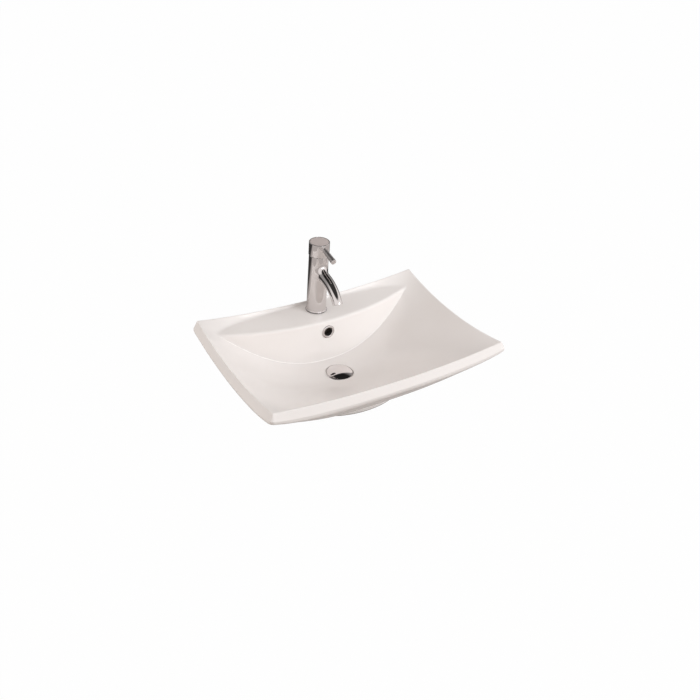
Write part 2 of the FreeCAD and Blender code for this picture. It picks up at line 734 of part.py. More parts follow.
def make_tap_body():
    """The tap's body: a slim cone with a bent spout, bored for the cartridge and its waterways."""
    body = new_body("tap_casting")
    section = new_sketch(body, "XZ_Plane", "tap_section")
    top = "body_height"
    chamfer = "body_chamfer"
    ring_top = "(base_gasket_height + base_ring_height)"
    outline(section, [("0", "base_gasket_height"), ("spigot_radius", "base_gasket_height"),
                      ("spigot_radius", ring_top), ("body_foot_radius", ring_top),
                      ("body_top_radius", f"{top} - {chamfer}"),
                      (f"body_top_radius - {chamfer}", top), ("0", top)])
    revolution = body.newObject("PartDesign::Revolution", "tap_revolution")
    revolution.Profile = section
    revolution.ReferenceAxis = (section, ["V_Axis"])
    revolution.Angle = FULL_ANGLE

    def on_spout_root(edge, near):
        """Whether an edge lies where the spout leaves the body."""
        middle = edge.valueAt((edge.FirstParameter + edge.LastParameter) / 2)
        off_line = math.hypot(middle.x, middle.z - value(SPOUT_RISE)) - value("spout_radius")
        off_axis = math.hypot(middle.x, middle.y)
        return abs(off_line) < near and value("body_top_radius") < off_axis < value("body_foot_radius")

    def spout_pipe(kind, name, radius, start):
        """A round pipe along the spout's line, from start forwards to the outlet."""
        circle = new_sketch(body, "XZ_Plane", name + "_circle")
        circle.AttachmentOffset = FreeCAD.Placement(V(0, 0, value(start)), FreeCAD.Rotation())
        drive(circle, "AttachmentOffset.Base.z", start)
        ring_outline(circle, radius, y=SPOUT_RISE)
        path = new_sketch(body, "YZ_Plane", name + "_path")
        end_y = "-(spout_straight + spout_bend_radius * sin(spout_bend_angle))"
        end_z = f"{SPOUT_RISE} - spout_bend_radius * (1 - cos(spout_bend_angle))"
        outline(path, [(f"-({start})", SPOUT_RISE), ("-spout_straight", SPOUT_RISE, "spout_bend_radius"),
                       (end_y, end_z)], closed=False)
        pipe = body.newObject(kind, name)
        pipe.Profile = circle
        pipe.Spine = path
        return pipe

    spout = spout_pipe("PartDesign::AdditivePipe", "spout", "spout_radius", "0")
    doc.recompute()
    near = value("thread_fit")
    root = body.newObject("PartDesign::Fillet", "spout_root")
    root.Base = (spout, [f"Edge{index}" for index, edge in enumerate(spout.Shape.Edges, start=1)
                         if on_spout_root(edge, near)])
    drive(root, "Radius", "spout_fillet")
    spout_pipe("PartDesign::SubtractivePipe", "waterway", "waterway_radius", "waterway_start")
    place(body, y=TAP_Y, z=DECK)

    tools = [cylinder("cartridge_hole", "cartridge_bore", "body_height", y=TAP_Y, z=SEAT)]
    inlet_y = f"{TAP_Y} - inlet_front"
    for name, side in (("hot", "-"), ("cold", "")):
        inlet_x = f"{side}inlet_spacing / 2"
        inlet = {"x": inlet_x, "y": inlet_y, "z": BODY_LOW}
        tools.append(cylinder(name + "_inlet", "inlet_thread_radius", "inlet_thread_depth", **inlet))
        tools.append(cylinder(name + "_bore", "inlet_bore", f"{SEAT} - {BODY_LOW}", **inlet))
    mixed_y = f"({TAP_Y} + mixed_back)"
    tools.append(cylinder("mixed_port", "mixed_bore", f"{SEAT} - {SPOUT_Z}", y=mixed_y, z=SPOUT_Z))
    tools.append(cylinder("mixed_run", "mixed_bore", "mixed_back + waterway_start + waterway_radius",
                          y=mixed_y, z=SPOUT_Z, turn="90"))
    tools.append(cylinder("stud_hole", "stud_radius + thread_fit", "stud_grip",
                          y=f"{TAP_Y} + stud_back", z=BODY_LOW))
    aerator_y = f"{OUTLET_Y} + aerator_depth * cos(spout_bend_angle)"
    aerator_z = f"{OUTLET_Z} + aerator_depth * sin(spout_bend_angle)"
    tools.append(cylinder("aerator_hole", "aerator_bore", "aerator_depth + cut_overrun",
                          y=aerator_y, z=aerator_z, turn=OUTLET_TURN))
    return cut("tap_body", body, *tools)


def make_tap_fixing():
    """What holds the tap to the deck: base ring, gaskets, stud, horseshoe plate and nut."""
    sub_parts = []
    tap = {"y": TAP_Y}
    sub_parts.append(ring("base_gasket", "base_gasket_bore", "base_ring_radius - base_ring_chamfer",
                          DECK, BODY_LOW, **tap))
    bore = "(spigot_radius + thread_fit)"
    corners = [(bore, BODY_LOW), ("base_ring_radius", BODY_LOW),
               ("base_ring_radius", f"{RING_TOP} - base_ring_chamfer"),
               ("base_ring_radius - base_ring_chamfer", RING_TOP), (bore, RING_TOP)]
    sub_parts.append(turned("base_ring", corners, **tap))

    stud_y = f"{TAP_Y} + stud_back"
    stud_top = f"({BODY_LOW} + stud_grip)"
    sub_parts.append(cylinder("fixing_stud", "stud_radius", "stud_length",
                              y=stud_y, z=f"{stud_top} - stud_length"))
    for label, top in (("horseshoe_gasket", DECK_UNDER), ("horseshoe_plate", PLATE_TOP)):
        thick = label
        low = f"({top} - {thick})"
        disc = cylinder(label + "_disc", "horseshoe_radius", thick, z=low, **tap)
        slot = box(label + "_slot", "horseshoe_slot", "horseshoe_radius + cut_overrun", thick,
                   f"{TAP_Y} + horseshoe_stop - horseshoe_radius - cut_overrun", low)
        hole = cylinder(label + "_hole", "stud_radius + loose_fit", thick, y=stud_y, z=low)
        sub_parts.append(cut(label + "_piece", disc, slot, hole))
        sub_parts[-1].Label = "fixing_gasket" if label == "horseshoe_gasket" else "fixing_plate"
    nut_low = f"({PLATE_LOW} - fixing_nut_height)"
    nut = hexagon("fixing_nut_bar", "fixing_nut_flat", "fixing_nut_height", y=stud_y, z=nut_low)
    nut_bore = cylinder("fixing_nut_bore", "stud_radius + thread_fit", "fixing_nut_height",
                        y=stud_y, z=nut_low)
    sub_parts.append(cut("fixing_nut", nut, nut_bore))
    return sub_parts


def make_aerator():
    """The outlet's fittings, along the spout's end: housing with a lip, holed insert and seal."""
    outlet = {"y": OUTLET_Y, "z": OUTLET_Z, "turn": OUTLET_TURN}
    outer = "(aerator_bore - thread_fit)"
    bore = f"({outer} - aerator_wall)"
    low = "(aerator_seal - aerator_depth)"
    corners = [(bore, low), (outer, low), (outer, "0"), ("aerator_lip_radius", "0"),
               ("aerator_lip_radius", "aerator_lip"), (bore, "aerator_lip")]
    housing = turned("aerator_housing", corners, **outlet)
    seal = ring("aerator_seal_ring", f"{bore} - aerator_seal", outer, "-aerator_depth", low, **outlet)
    seal.Label = "aerator_seal"

    insert = new_body("aerator_disc")
    face = new_sketch(insert, "XY_Plane", "aerator_face")
    ring_outline(face, f"{bore} - thread_fit")
    ring_outline(face, "insert_hole_radius")
    for index in range(INSERT_HOLE_COUNT):
        angle = f"{FULL_ANGLE} * {index} / {INSERT_HOLE_COUNT}"
        ring_outline(face, "insert_hole_radius",
                     f"insert_hole_ring * cos({angle})", f"insert_hole_ring * sin({angle})")
    pad = insert.newObject("PartDesign::Pad", "aerator_pad")
    pad.Profile = face
    pad.Reversed = True
    drive(pad, "Length", "insert_height")
    inset_y = f"{OUTLET_Y} + insert_inset * cos(spout_bend_angle)"
    inset_z = f"{OUTLET_Z} + insert_inset * sin(spout_bend_angle)"
    place(insert, y=inset_y, z=inset_z, turn=OUTLET_TURN)
    insert.Label = "aerator_insert"
    return [housing, seal, insert]


def cartridge_ports(name, low, height):
    """Tools for the two inlets and the outlet through one layer of the cartridge."""
    inlet_y = f"{TAP_Y} - inlet_front"
    return [cylinder(name + "_hot", "inlet_bore", height, x="-inlet_spacing / 2", y=inlet_y, z=low),
            cylinder(name + "_cold", "inlet_bore", height, x="inlet_spacing / 2", y=inlet_y, z=low),
            cylinder(name + "_mixed", "mixed_bore", height, y=f"{TAP_Y} + mixed_back", z=low)]


def make_cartridge():
    """The mixing cartridge: seal, housing, two ceramic discs, carrier, spindle, pin and nut."""
    sub_parts = []
    tap = {"y": TAP_Y}
    gasket = ring("seal_disc", "0", f"{HOUSING_RADIUS} - loose_fit", SEAT, HOUSING_LOW, **tap)
    sub_parts.append(cut("cartridge_seal_piece", gasket, *cartridge_ports("seal", SEAT, "cartridge_seal")))
    sub_parts[-1].Label = "cartridge_seal"

    lip_low = f"({HOUSING_TOP} - cartridge_lip)"
    corners = [("0", HOUSING_LOW), (HOUSING_RADIUS, HOUSING_LOW), (HOUSING_RADIUS, HOUSING_TOP),
               ("cartridge_mouth", HOUSING_TOP), ("cartridge_mouth", lip_low), (HOUSING_BORE, lip_low),
               (HOUSING_BORE, DISC_LOW), ("0", DISC_LOW)]
    cup = turned("housing_cup", corners, **tap)
    ports = cartridge_ports("housing", HOUSING_LOW, "cartridge_base")
    sub_parts.append(cut("cartridge_housing", cup, *ports))

    plate = ring("fixed_plate", "0", f"{HOUSING_BORE} - loose_fit", DISC_LOW, DISC_TOP, **tap)
    sub_parts.append(cut("fixed_disc", plate, *cartridge_ports("fixed", DISC_LOW, "disc_height")))

    ball_z = f"({PIVOT} - ball_drop)"
    slider = ring("moving_plate", "0", "moving_disc_radius", DISC_TOP, MOVING_TOP, **tap)
    socket_low = f"({DISC_TOP} + pocket_depth + socket_floor)"
    socket = cylinder("ball_socket", "ball_radius + socket_clearance", f"{MOVING_TOP} - {socket_low}",
                      z=socket_low, **tap)
    pocket = box("mixing_pocket", "pocket_width", "pocket_front + pocket_back", "pocket_depth",
                 f"{TAP_Y} - pocket_front", DISC_TOP)
    sub_parts.append(cut("moving_disc", slider, socket, pocket))

    carrier_low = f"({PIVOT} - carrier_under)"
    carrier_top = f"({lip_low} - carrier_clearance)"
    drum = ring("carrier_drum", "0", f"{HOUSING_BORE} - carrier_clearance", carrier_low, carrier_top, **tap)
    slot = box("carrier_slot_block", "carrier_slot", "carrier_slot_front + carrier_slot_back",
               f"{carrier_top} - {carrier_low}",
               f"{TAP_Y} - carrier_slot_front", carrier_low)
    pin_length = f"(2 * ({HOUSING_BORE} - carrier_clearance) - cartridge_wall)"
    pin_bore = pin_bar("carrier_pin_bore", "pin_radius + thread_fit", pin_length)
    sub_parts.append(cut("cartridge_carrier", drum, slot, pin_bore))
    sub_parts.append(pin_bar("spindle_pin", "pin_radius", pin_length))

    neck_z = f"({ball_z} + sqrt(ball_radius ^ 2 - ball_neck ^ 2))"
    cone_z = f"({PIVOT} - spindle_radius)"
    spindle_top = f"({BOSS_LOW} + spindle_grip)"
    corners = [("0", f"{ball_z} - ball_radius", "ball_radius"), ("ball_neck", neck_z),
               ("ball_neck", f"{cone_z} - ball_neck / 2"),
               ("spindle_radius - ball_neck / 2", cone_z), ("spindle_radius", f"{PIVOT} - ball_neck"),
               ("spindle_radius", spindle_top), ("0", spindle_top)]
    rod = turned("spindle_rod", corners, **tap)
    eye = pin_bar("spindle_eye", "pin_radius + 2 * thread_fit", "4 * spindle_radius")
    sub_parts.append(cut("cartridge_spindle", rod, eye))
    sub_parts.append(ring("cartridge_nut_ring", "cartridge_mouth + thread_fit", "cartridge_bore - thread_fit",
                          HOUSING_TOP, BODY_TOP, **tap))
    sub_parts[-1].Label = "cartridge_nut"
    return sub_parts


def pin_bar(label, radius, length):
    """A bar along X through the lever's pivot."""
    bar = doc.addObject("Part::Cylinder", label)
    drive(bar, "Radius", radius)
    drive(bar, "Height", length)
    bar.Placement = FreeCAD.Placement(V(), FreeCAD.Rotation(V(0, 1, 0), FULL_ANGLE / 4))
    for axis, formula in zip("xyz", (f"-({length}) / 2", TAP_Y, PIVOT)):
        drive(bar, "Placement.Base." + axis, formula)
    return bar


def make_handle():
    """The handle: skirted cap on the spindle, top disc, pin lever and grub screw."""
    tap = {"y": TAP_Y}
    recess = f"({CAP_TOP} - top_disc_height)"
    inner = "(cap_radius - cap_skirt)"
    spindle_bore = "(spindle_radius + thread_fit)"
    spindle_top = f"({BOSS_LOW} + spindle_grip)"
    corners = [("0", spindle_top), (spindle_bore, spindle_top), (spindle_bore, BOSS_LOW),
               ("handle_boss_radius", BOSS_LOW), ("handle_boss_radius", CROWN_LOW),
               (f"{inner} - cap_skirt", CROWN_LOW), (inner, f"{CAP_LOW} + pivot_depth / 4"),
               (inner, CAP_LOW), ("cap_radius", CAP_LOW), ("cap_radius", f"{CAP_TOP} - cap_edge"),
               ("cap_radius - cap_edge", CAP_TOP), ("top_disc_radius + loose_fit", CAP_TOP),
               ("top_disc_radius + loose_fit", recess), ("0", recess)]
    cap = turned("cap_turned", corners, **tap)
    lever = {"y": TAP_Y, "z": LEVER_Z, "turn": LEVER_TURN}
    lever_bore = "lever_root_radius + thread_fit"
    lever_hole = ring("lever_hole", "0", lever_bore, "lever_start", "lever_reach", **lever)
    grub_hole = cylinder("grub_hole", "grub_radius + thread_fit", "handle_boss_radius",
                         y=f"{TAP_Y} + handle_boss_radius", z=GRUB_Z, turn="90")
    grub_access = cylinder("grub_access_hole", "grub_access", "cap_radius / 2",
                           y=f"{TAP_Y} + cap_radius + cut_overrun / 2", z=GRUB_Z, turn="90")
    handle_cap = cut("handle_cap", cap, lever_hole, grub_hole, grub_access)

    disc_edge = "top_disc_height / 4"
    corners = [("0", recess), ("top_disc_radius", recess), ("top_disc_radius", f"{CAP_TOP} - {disc_edge}"),
               (f"top_disc_radius - {disc_edge}", CAP_TOP), ("0", CAP_TOP)]
    top_disc = turned("handle_top_disc", corners, **tap)
    corners = [("0", "lever_start"), ("lever_root_radius", "lever_start"),
               ("lever_root_radius", "lever_waist"),
               ("lever_tip_radius", "lever_reach - lever_edge", "lever_edge"),
               ("lever_tip_radius - lever_edge", "lever_reach"), ("0", "lever_reach")]
    pin_lever = turned("handle_lever", corners, **lever)
    grub = cylinder("handle_grub_screw", "grub_radius", "handle_boss_radius - spindle_radius - loose_fit",
                    y=f"{TAP_Y} + handle_boss_radius", z=GRUB_Z, turn="90")
    return [handle_cap, top_disc, pin_lever, grub]


def check_and_write(sub_parts):
    """Stop on any failed object, then write every sub-part to its own file."""
    doc.recompute()
    for item in doc.Objects:
        if "Invalid" in item.State or "Error" in item.State:
            raise RuntimeError(f"{item.Name} failed: {item.State}")
    for piece in sub_parts:
        if piece.Shape.isNull() or not piece.Shape.isValid() or not piece.Shape.Solids:
            raise RuntimeError(f"{piece.Label} has no valid solid")
    os.makedirs("parts", exist_ok=True)
    for piece in sub_parts:
        piece.Shape.exportStep(f"parts/{piece.Label}.step")
    print(len(sub_parts), "sub-parts written")


check_and_write([make_bowl(), make_overflow_ring(), *make_waste(), *make_plunger(), make_tap_body(),
                 *make_tap_fixing(), *make_aerator(), *make_cartridge(), *make_handle()])
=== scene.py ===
import json
import math

import bmesh
import bpy
import numpy as np
from mathutils import Matrix, Vector


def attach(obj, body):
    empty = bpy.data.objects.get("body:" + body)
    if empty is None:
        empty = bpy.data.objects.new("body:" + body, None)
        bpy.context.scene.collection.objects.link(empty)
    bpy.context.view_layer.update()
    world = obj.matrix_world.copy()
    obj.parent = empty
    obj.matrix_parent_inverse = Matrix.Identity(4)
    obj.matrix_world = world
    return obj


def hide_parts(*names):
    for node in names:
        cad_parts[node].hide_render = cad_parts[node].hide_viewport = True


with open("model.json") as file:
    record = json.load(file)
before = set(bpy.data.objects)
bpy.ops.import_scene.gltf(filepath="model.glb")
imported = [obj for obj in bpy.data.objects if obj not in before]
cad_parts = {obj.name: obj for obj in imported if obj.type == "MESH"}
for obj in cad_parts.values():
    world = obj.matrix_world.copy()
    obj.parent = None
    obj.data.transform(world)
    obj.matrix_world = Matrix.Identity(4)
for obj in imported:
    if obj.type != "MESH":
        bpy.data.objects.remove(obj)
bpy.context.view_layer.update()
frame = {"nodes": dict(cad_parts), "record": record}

nodes = frame["nodes"]
MM = 0.001

# Bowl, in millimetres: x right, y back and z up from the waste axis on the counter
HALF_WIDTH = 304
HALF_DEPTH = 199
SET_BACK = 31
PLAN_CORNER = 11
CORNER_HEIGHT = 159
FRONT_SAG = 18.5
SIDE_SAG = 22
BAND = 27
BAND_ROUND = 3.2
CORNER_THINNING = 7
LIP = 9
LIP_ROUND = 2.4
RIM_CURVE = 2.2
FLOOR = 21
DISH_BACK_CURVE = 3.2
BELLY = 5
BELLY_CURVES = (2.6, 3.8)
BELLY_SIDE_CURVE = 3
FOOT = (150, 102)
FOOT_WALL = 16
WALL_THICKNESS = 12
RIM_SOLID = 19
DECK = 132.5
DECK_ROUND = 6
DECK_FRONT = 65
WALL_RADIUS = 662
WALL_TILT = 4
WALL_LEAN = math.tan(math.radians(WALL_TILT))
CREASE_ROUND = 2.2
UNDER = -10.0

# Waste and overflow: half widths and radii across, then places from front to back or from below
WASTE_SEAT = FLOOR - 2.5
WASTE_SEAT_RADIUS = 34.2
WASTE_HOLE = 23
BOSS_RADIUS = 42
DOME_RADIUS, DOME_RISE = 31, 4.2
OVERFLOW_DROP = 30
OVERFLOW = DECK - OVERFLOW_DROP
OVERFLOW_HOLE = 12.6
DUCT_HALF = 15
DUCT_FRONT, DUCT_BACK = 70, 79
DUCT_FLOOR, DUCT_ROOF = 6, 12
DUCT_TOP = OVERFLOW + 14
CASE_HALF = 22
CASE_LOW, CASE_TOP = 2, 16
CASE_FRONT, CASE_BACK = 62, 84

# Tap, from the deck upwards on its own axis
TAP_Y = 125
TAP_HOLE = 17.5
ACCESS_HALF = (60, 23)
GASKET = 1.2
RING_TOP = 7.2
TAP_RADIUS = 24.1
TAP_TAPER = 0.7
TAP_TOP = 150
CARTRIDGE_SEAT = 112
SPOUT_HEIGHT = 100
SPOUT_STRAIGHT = 33.5
SPOUT_BEND = 73.5
SPOUT_SWEEP = math.radians(58)
SPOUT_RADIUS = 12
OUTLET_RADIUS = 10.6
CAP_LOW = DECK + TAP_TOP + 1
CAP_TOP = CAP_LOW + 32
LEVER_LEAN = 13
LEVER_EXIT, LEVER_DROP = 24.9, 11.5


# Small helpers
def deselect():
    """Leave nothing selected, so that an operator meets only what is made next."""
    bpy.ops.object.select_all(action="DESELECT")


def take(piece):
    """Make one piece the only selected and active one."""
    deselect()
    piece.select_set(True)
    bpy.context.view_layer.objects.active = piece


def settle(piece, name, angle=35):
    """Name a finished piece, put its place into its mesh and smooth what isn't an edge."""
    take(piece)
    bpy.ops.object.transform_apply(location=True, rotation=True, scale=True)
    bpy.ops.object.shade_smooth_by_angle(angle=math.radians(angle))
    piece.name = name
    piece.data.name = name
    return piece


def apply_modifier(piece, kind, **settings):
    """Add one modifier, set it up and apply it."""
    take(piece)
    bpy.ops.object.modifier_add(type=kind)
    modifier = piece.modifiers[-1]
    for key, setting in settings.items():
        setattr(modifier, key, setting)
    bpy.ops.object.modifier_apply(modifier=modifier.name)


def cut_away(piece, tool, operation="DIFFERENCE"):
    """Take a tool's shape out of a piece, or add it, and remove the tool."""
    apply_modifier(piece, "BOOLEAN", object=tool, operation=operation, solver="MANIFOLD")
    bpy.data.objects.remove(tool, do_unlink=True)


def spun(name, section, steps=128, bevel=0.3, at=(0, 0, 0), turn=0):
    """A piece turned on a lathe: half its section, in millimetres, spun about Z, with eased edges."""
    on_axis = section[0][0] == 0
    section = section if on_axis else section + section[:1]
    deselect()
    bpy.ops.mesh.primitive_plane_add(size=MM)
    piece = bpy.context.object
    bpy.ops.object.mode_set(mode="EDIT")
    bpy.ops.mesh.merge(type="CENTER")
    here = Vector((section[0][0], 0, section[0][1])) * MM
    bpy.ops.transform.translate(value=here)
    for radius, height in section[1:]:
        there = Vector((radius, 0, height)) * MM
        bpy.ops.mesh.extrude_vertices_move(TRANSFORM_OT_translate={"value": there - here})
        here = there
    bpy.ops.mesh.select_all(action="SELECT")
    bpy.ops.mesh.spin(steps=steps, angle=2 * math.pi, center=(0, 0, 0), axis=(0, 0, 1))
    bpy.ops.mesh.select_all(action="SELECT")
    bpy.ops.mesh.remove_doubles(threshold=0.001 * MM)
    bpy.ops.mesh.normals_make_consistent(inside=False)
    bpy.ops.object.mode_set(mode="OBJECT")
    if bevel:
        apply_modifier(piece, "BEVEL", width=bevel * MM, segments=3, limit_method="ANGLE",
                       angle_limit=math.radians(25))
    piece.rotation_euler = (math.radians(turn), 0, 0)
    piece.location = Vector(at) * MM
    return settle(piece, name)


def skinned(name, points, faces):
    """A mesh from points in millimetres and faces."""
    mesh = bpy.data.meshes.new(name)
    mesh.from_pydata([tuple(point) for point in np.asarray(points) * MM], [], faces)
    mesh.validate()
    shape = bmesh.new()
    shape.from_mesh(mesh)
    bmesh.ops.recalc_face_normals(shape, faces=shape.faces)
    if shape.calc_volume(signed=True) < 0:
        bmesh.ops.reverse_faces(shape, faces=shape.faces)
    shape.to_mesh(mesh)
    shape.free()
    piece = bpy.data.objects.new(name, mesh)
    bpy.context.scene.collection.objects.link(piece)
    return piece


def ring_faces(first, second, count):
    """Quads between two closed rings of points."""
    return [(first + k, first + (k + 1) % count, second + (k + 1) % count, second + k) for k in range(count)]


# The bowl's faces, as distances that can be rounded where they meet
def lip_at(x, y):
    """The rim's ridge, lowest at the middle of each side."""
    front = FRONT_SAG * (1 - (np.abs(x) / (HALF_WIDTH - LIP)) ** RIM_CURVE)
    return CORNER_HEIGHT - front - SIDE_SAG * (1 - ((y + SET_BACK) / (HALF_DEPTH - LIP)) ** 2)


def dish_at(x, y):
    """The dish: a long easy slope in front of the waste, a steep one behind, arcs across."""
    front_run = HALF_DEPTH + SET_BACK - LIP
    back_run = HALF_DEPTH - SET_BACK - LIP
    ease = 0.4
    front = (np.hypot(np.minimum(y, 0) / front_run, ease) - ease) / (math.hypot(1, ease) - ease)
    rise = np.where(y < 0, front, (np.maximum(y, 0) / back_run) ** DISH_BACK_CURVE)
    middle = FLOOR + (CORNER_HEIGHT - FRONT_SAG - FLOOR) * rise
    side = CORNER_HEIGHT - SIDE_SAG * (1 - ((y + SET_BACK) / (HALF_DEPTH - LIP)) ** 2)
    return middle + (side - middle) * (np.abs(x) / (HALF_WIDTH - LIP)) ** RIM_CURVE


def thinning_at(x, y):
    """How much thinner the band is towards the front corners."""
    share = (y + SET_BACK) / HALF_DEPTH
    return CORNER_THINNING * (np.abs(x) / HALF_WIDTH * np.maximum(-share, 0)) ** 6


def belly_at(x, y):
    """The underside, steep below the band, flat towards the foot and fuller behind it."""
    corner = CORNER_HEIGHT - BAND
    share = (y + SET_BACK) / HALF_DEPTH
    middle = BELLY + (corner - FRONT_SAG - BELLY) * np.abs(share) ** np.where(share < 0, *BELLY_CURVES)
    side = corner - SIDE_SAG * (1 - share ** 2)
    return middle + (side - middle) * (np.abs(x) / HALF_WIDTH) ** BELLY_SIDE_CURVE + thinning_at(x, y)


def steepness(height_at, x, y):
    """How much longer a slope is than its plan."""
    step = 0.5
    slope_x = (height_at(x + step, y) - height_at(x - step, y)) / (2 * step)
    slope_y = (height_at(x, y + step) - height_at(x, y - step)) / (2 * step)
    return np.sqrt(1 + slope_x ** 2 + slope_y ** 2)


def inside_edge(x, y, inset=0):
    """How far a plan point is inside the rounded rectangle."""
    out_x = np.abs(x) - (HALF_WIDTH - inset - PLAN_CORNER)
    out_y = np.abs(y + SET_BACK) - (HALF_DEPTH - inset - PLAN_CORNER)
    outside = np.hypot(np.maximum(out_x, 0), np.maximum(out_y, 0))
    return PLAN_CORNER - outside - np.minimum(np.maximum(out_x, out_y), 0)


def both(first, second, radius):
    """Inside both shapes, their shared edge rounded."""
    corner = np.hypot(np.maximum(radius + first, 0), np.maximum(radius + second, 0))
    return np.minimum(-radius, np.maximum(first, second)) + corner


def either(first, second, radius):
    """Inside either shape, the corner between them filled to a radius."""
    corner = np.hypot(np.maximum(radius - first, 0), np.maximum(radius - second, 0))
    return np.maximum(radius, np.minimum(first, second)) - corner


def solved(outside_at, x, y, low, high):
    """The height where a shape begins, found by halving."""
    halvings = 44
    low = np.full_like(x, low)
    high = np.full_like(x, high)
    for _ in range(halvings):
        middle = (low + high) / 2
        out = outside_at(x, y, middle) > 0
        high = np.where(out, middle, high)
        low = np.where(out, low, middle)
    return (low + high) / 2


def top_of_bowl(x, y):
    """The glazed top: dish, wall, tap deck and lip, with every meeting line softened by glaze."""
    dish, dish_slope = dish_at(x, y), steepness(dish_at, x, y)
    behind = np.hypot(x, y - DECK_FRONT - WALL_RADIUS) - WALL_RADIUS
    # the band is a flat face that leans in from the plan's edge to the ridge
    band = BAND - BAND_ROUND * steepness(belly_at, x, y) - thinning_at(x, y)
    band_low, band_lean = lip_at(x, y) - band, LIP / band
    edge = inside_edge(x, y)

    def outside_at(x, y, z):
        wall = (behind - (DECK - z) * WALL_LEAN) / math.hypot(1, WALL_LEAN)
        block = both(wall, z - DECK, DECK_ROUND)
        bowl = either((z - dish) / dish_slope, block, CREASE_ROUND)
        leaning = ((z - band_low) * band_lean - edge) / np.hypot(1, band_lean)
        return both(bowl, leaning, LIP_ROUND)

    return solved(outside_at, x, y, 0, 200)


def under_of_bowl(x, y):
    """The glazed underside below the band, its upper edge rounded."""
    belly, slope, edge = belly_at(x, y), steepness(belly_at, x, y), inside_edge(x, y)

    def inside_at(x, y, z):
        return -both((belly - z) / slope, -edge, BAND_ROUND)

    return solved(inside_at, x, y, -20, 200)


def rounded_corners(x, y):
    """Draw the four corners of a plan grid in to the rounded outline."""
    square_x = (np.abs(x) - (HALF_WIDTH - PLAN_CORNER)) / PLAN_CORNER
    square_y = (np.abs(y + SET_BACK) - (HALF_DEPTH - PLAN_CORNER)) / PLAN_CORNER
    in_corner = (square_x > 0) & (square_y > 0)
    round_x = square_x * np.sqrt(np.maximum(1 - square_y ** 2 / 2, 0))
    round_y = square_y * np.sqrt(np.maximum(1 - square_x ** 2 / 2, 0))
    new_x = np.sign(x) * (HALF_WIDTH - PLAN_CORNER + round_x * PLAN_CORNER)
    new_y = np.sign(y + SET_BACK) * (HALF_DEPTH - PLAN_CORNER + round_y * PLAN_CORNER) - SET_BACK
    return np.where(in_corner, new_x, x), np.where(in_corner, new_y, y)


def plan_grid():
    """Plan points of the top, close together at the lip and along the wall below the deck."""
    lip_steps = [0.003, 0.5, 1, 2, 3, 4, 5, 6, 6.8, 7.4, 7.8, 8.1, 8.4, 8.7, 9, 9.3, 9.6, 10, 10.5, 11.2,
                 12.5, 15, 18]
    rim = 22
    columns = [-HALF_WIDTH + step for step in lip_steps]
    columns += list(np.linspace(-HALF_WIDTH + rim, HALF_WIDTH - rim, 96))
    columns += [HALF_WIDTH - step for step in reversed(lip_steps)]
    x = np.array(columns)
    wall = DECK_FRONT + WALL_RADIUS - np.sqrt(WALL_RADIUS ** 2 - x ** 2)
    front, back = -HALF_DEPTH - SET_BACK, HALF_DEPTH - SET_BACK
    rows = [np.full_like(x, front + step) for step in lip_steps]
    dish_rows, deck_rows = (front + rim, wall - 15), (wall + 8, back - rim)
    rows += [dish_rows[0] + (dish_rows[1] - dish_rows[0]) * share for share in np.linspace(0, 1, 52)]
    offsets = list(np.linspace(-14, -9, 7)) + list(np.arange(-8.6, 0.01, 0.36))
    offsets += [0.2, 0.5, 0.9, 1.4, 2, 2.7, 3.6, 5]
    rows += [wall + offset for offset in offsets]
    rows += [deck_rows[0] + (deck_rows[1] - deck_rows[0]) * share for share in np.linspace(0, 1, 40)]
    rows += [np.full_like(x, back - step) for step in reversed(lip_steps)]
    y = np.array(rows)
    return rounded_corners(np.broadcast_to(x, y.shape).copy(), y)


def boundary_of(rows, columns):
    """The outline of a grid, as indices in order."""
    low = list(range(columns))
    right = [j * columns + columns - 1 for j in range(1, rows)]
    high = [(rows - 1) * columns + k for k in range(columns - 2, -1, -1)]
    left = [j * columns for j in range(rows - 2, 0, -1)]
    return low + right + high + left


def grid_faces(rows, columns):
    """Quads of a grid."""
    return [(j * columns + k, j * columns + k + 1, (j + 1) * columns + k + 1, (j + 1) * columns + k)
            for j in range(rows - 1) for k in range(columns - 1)]


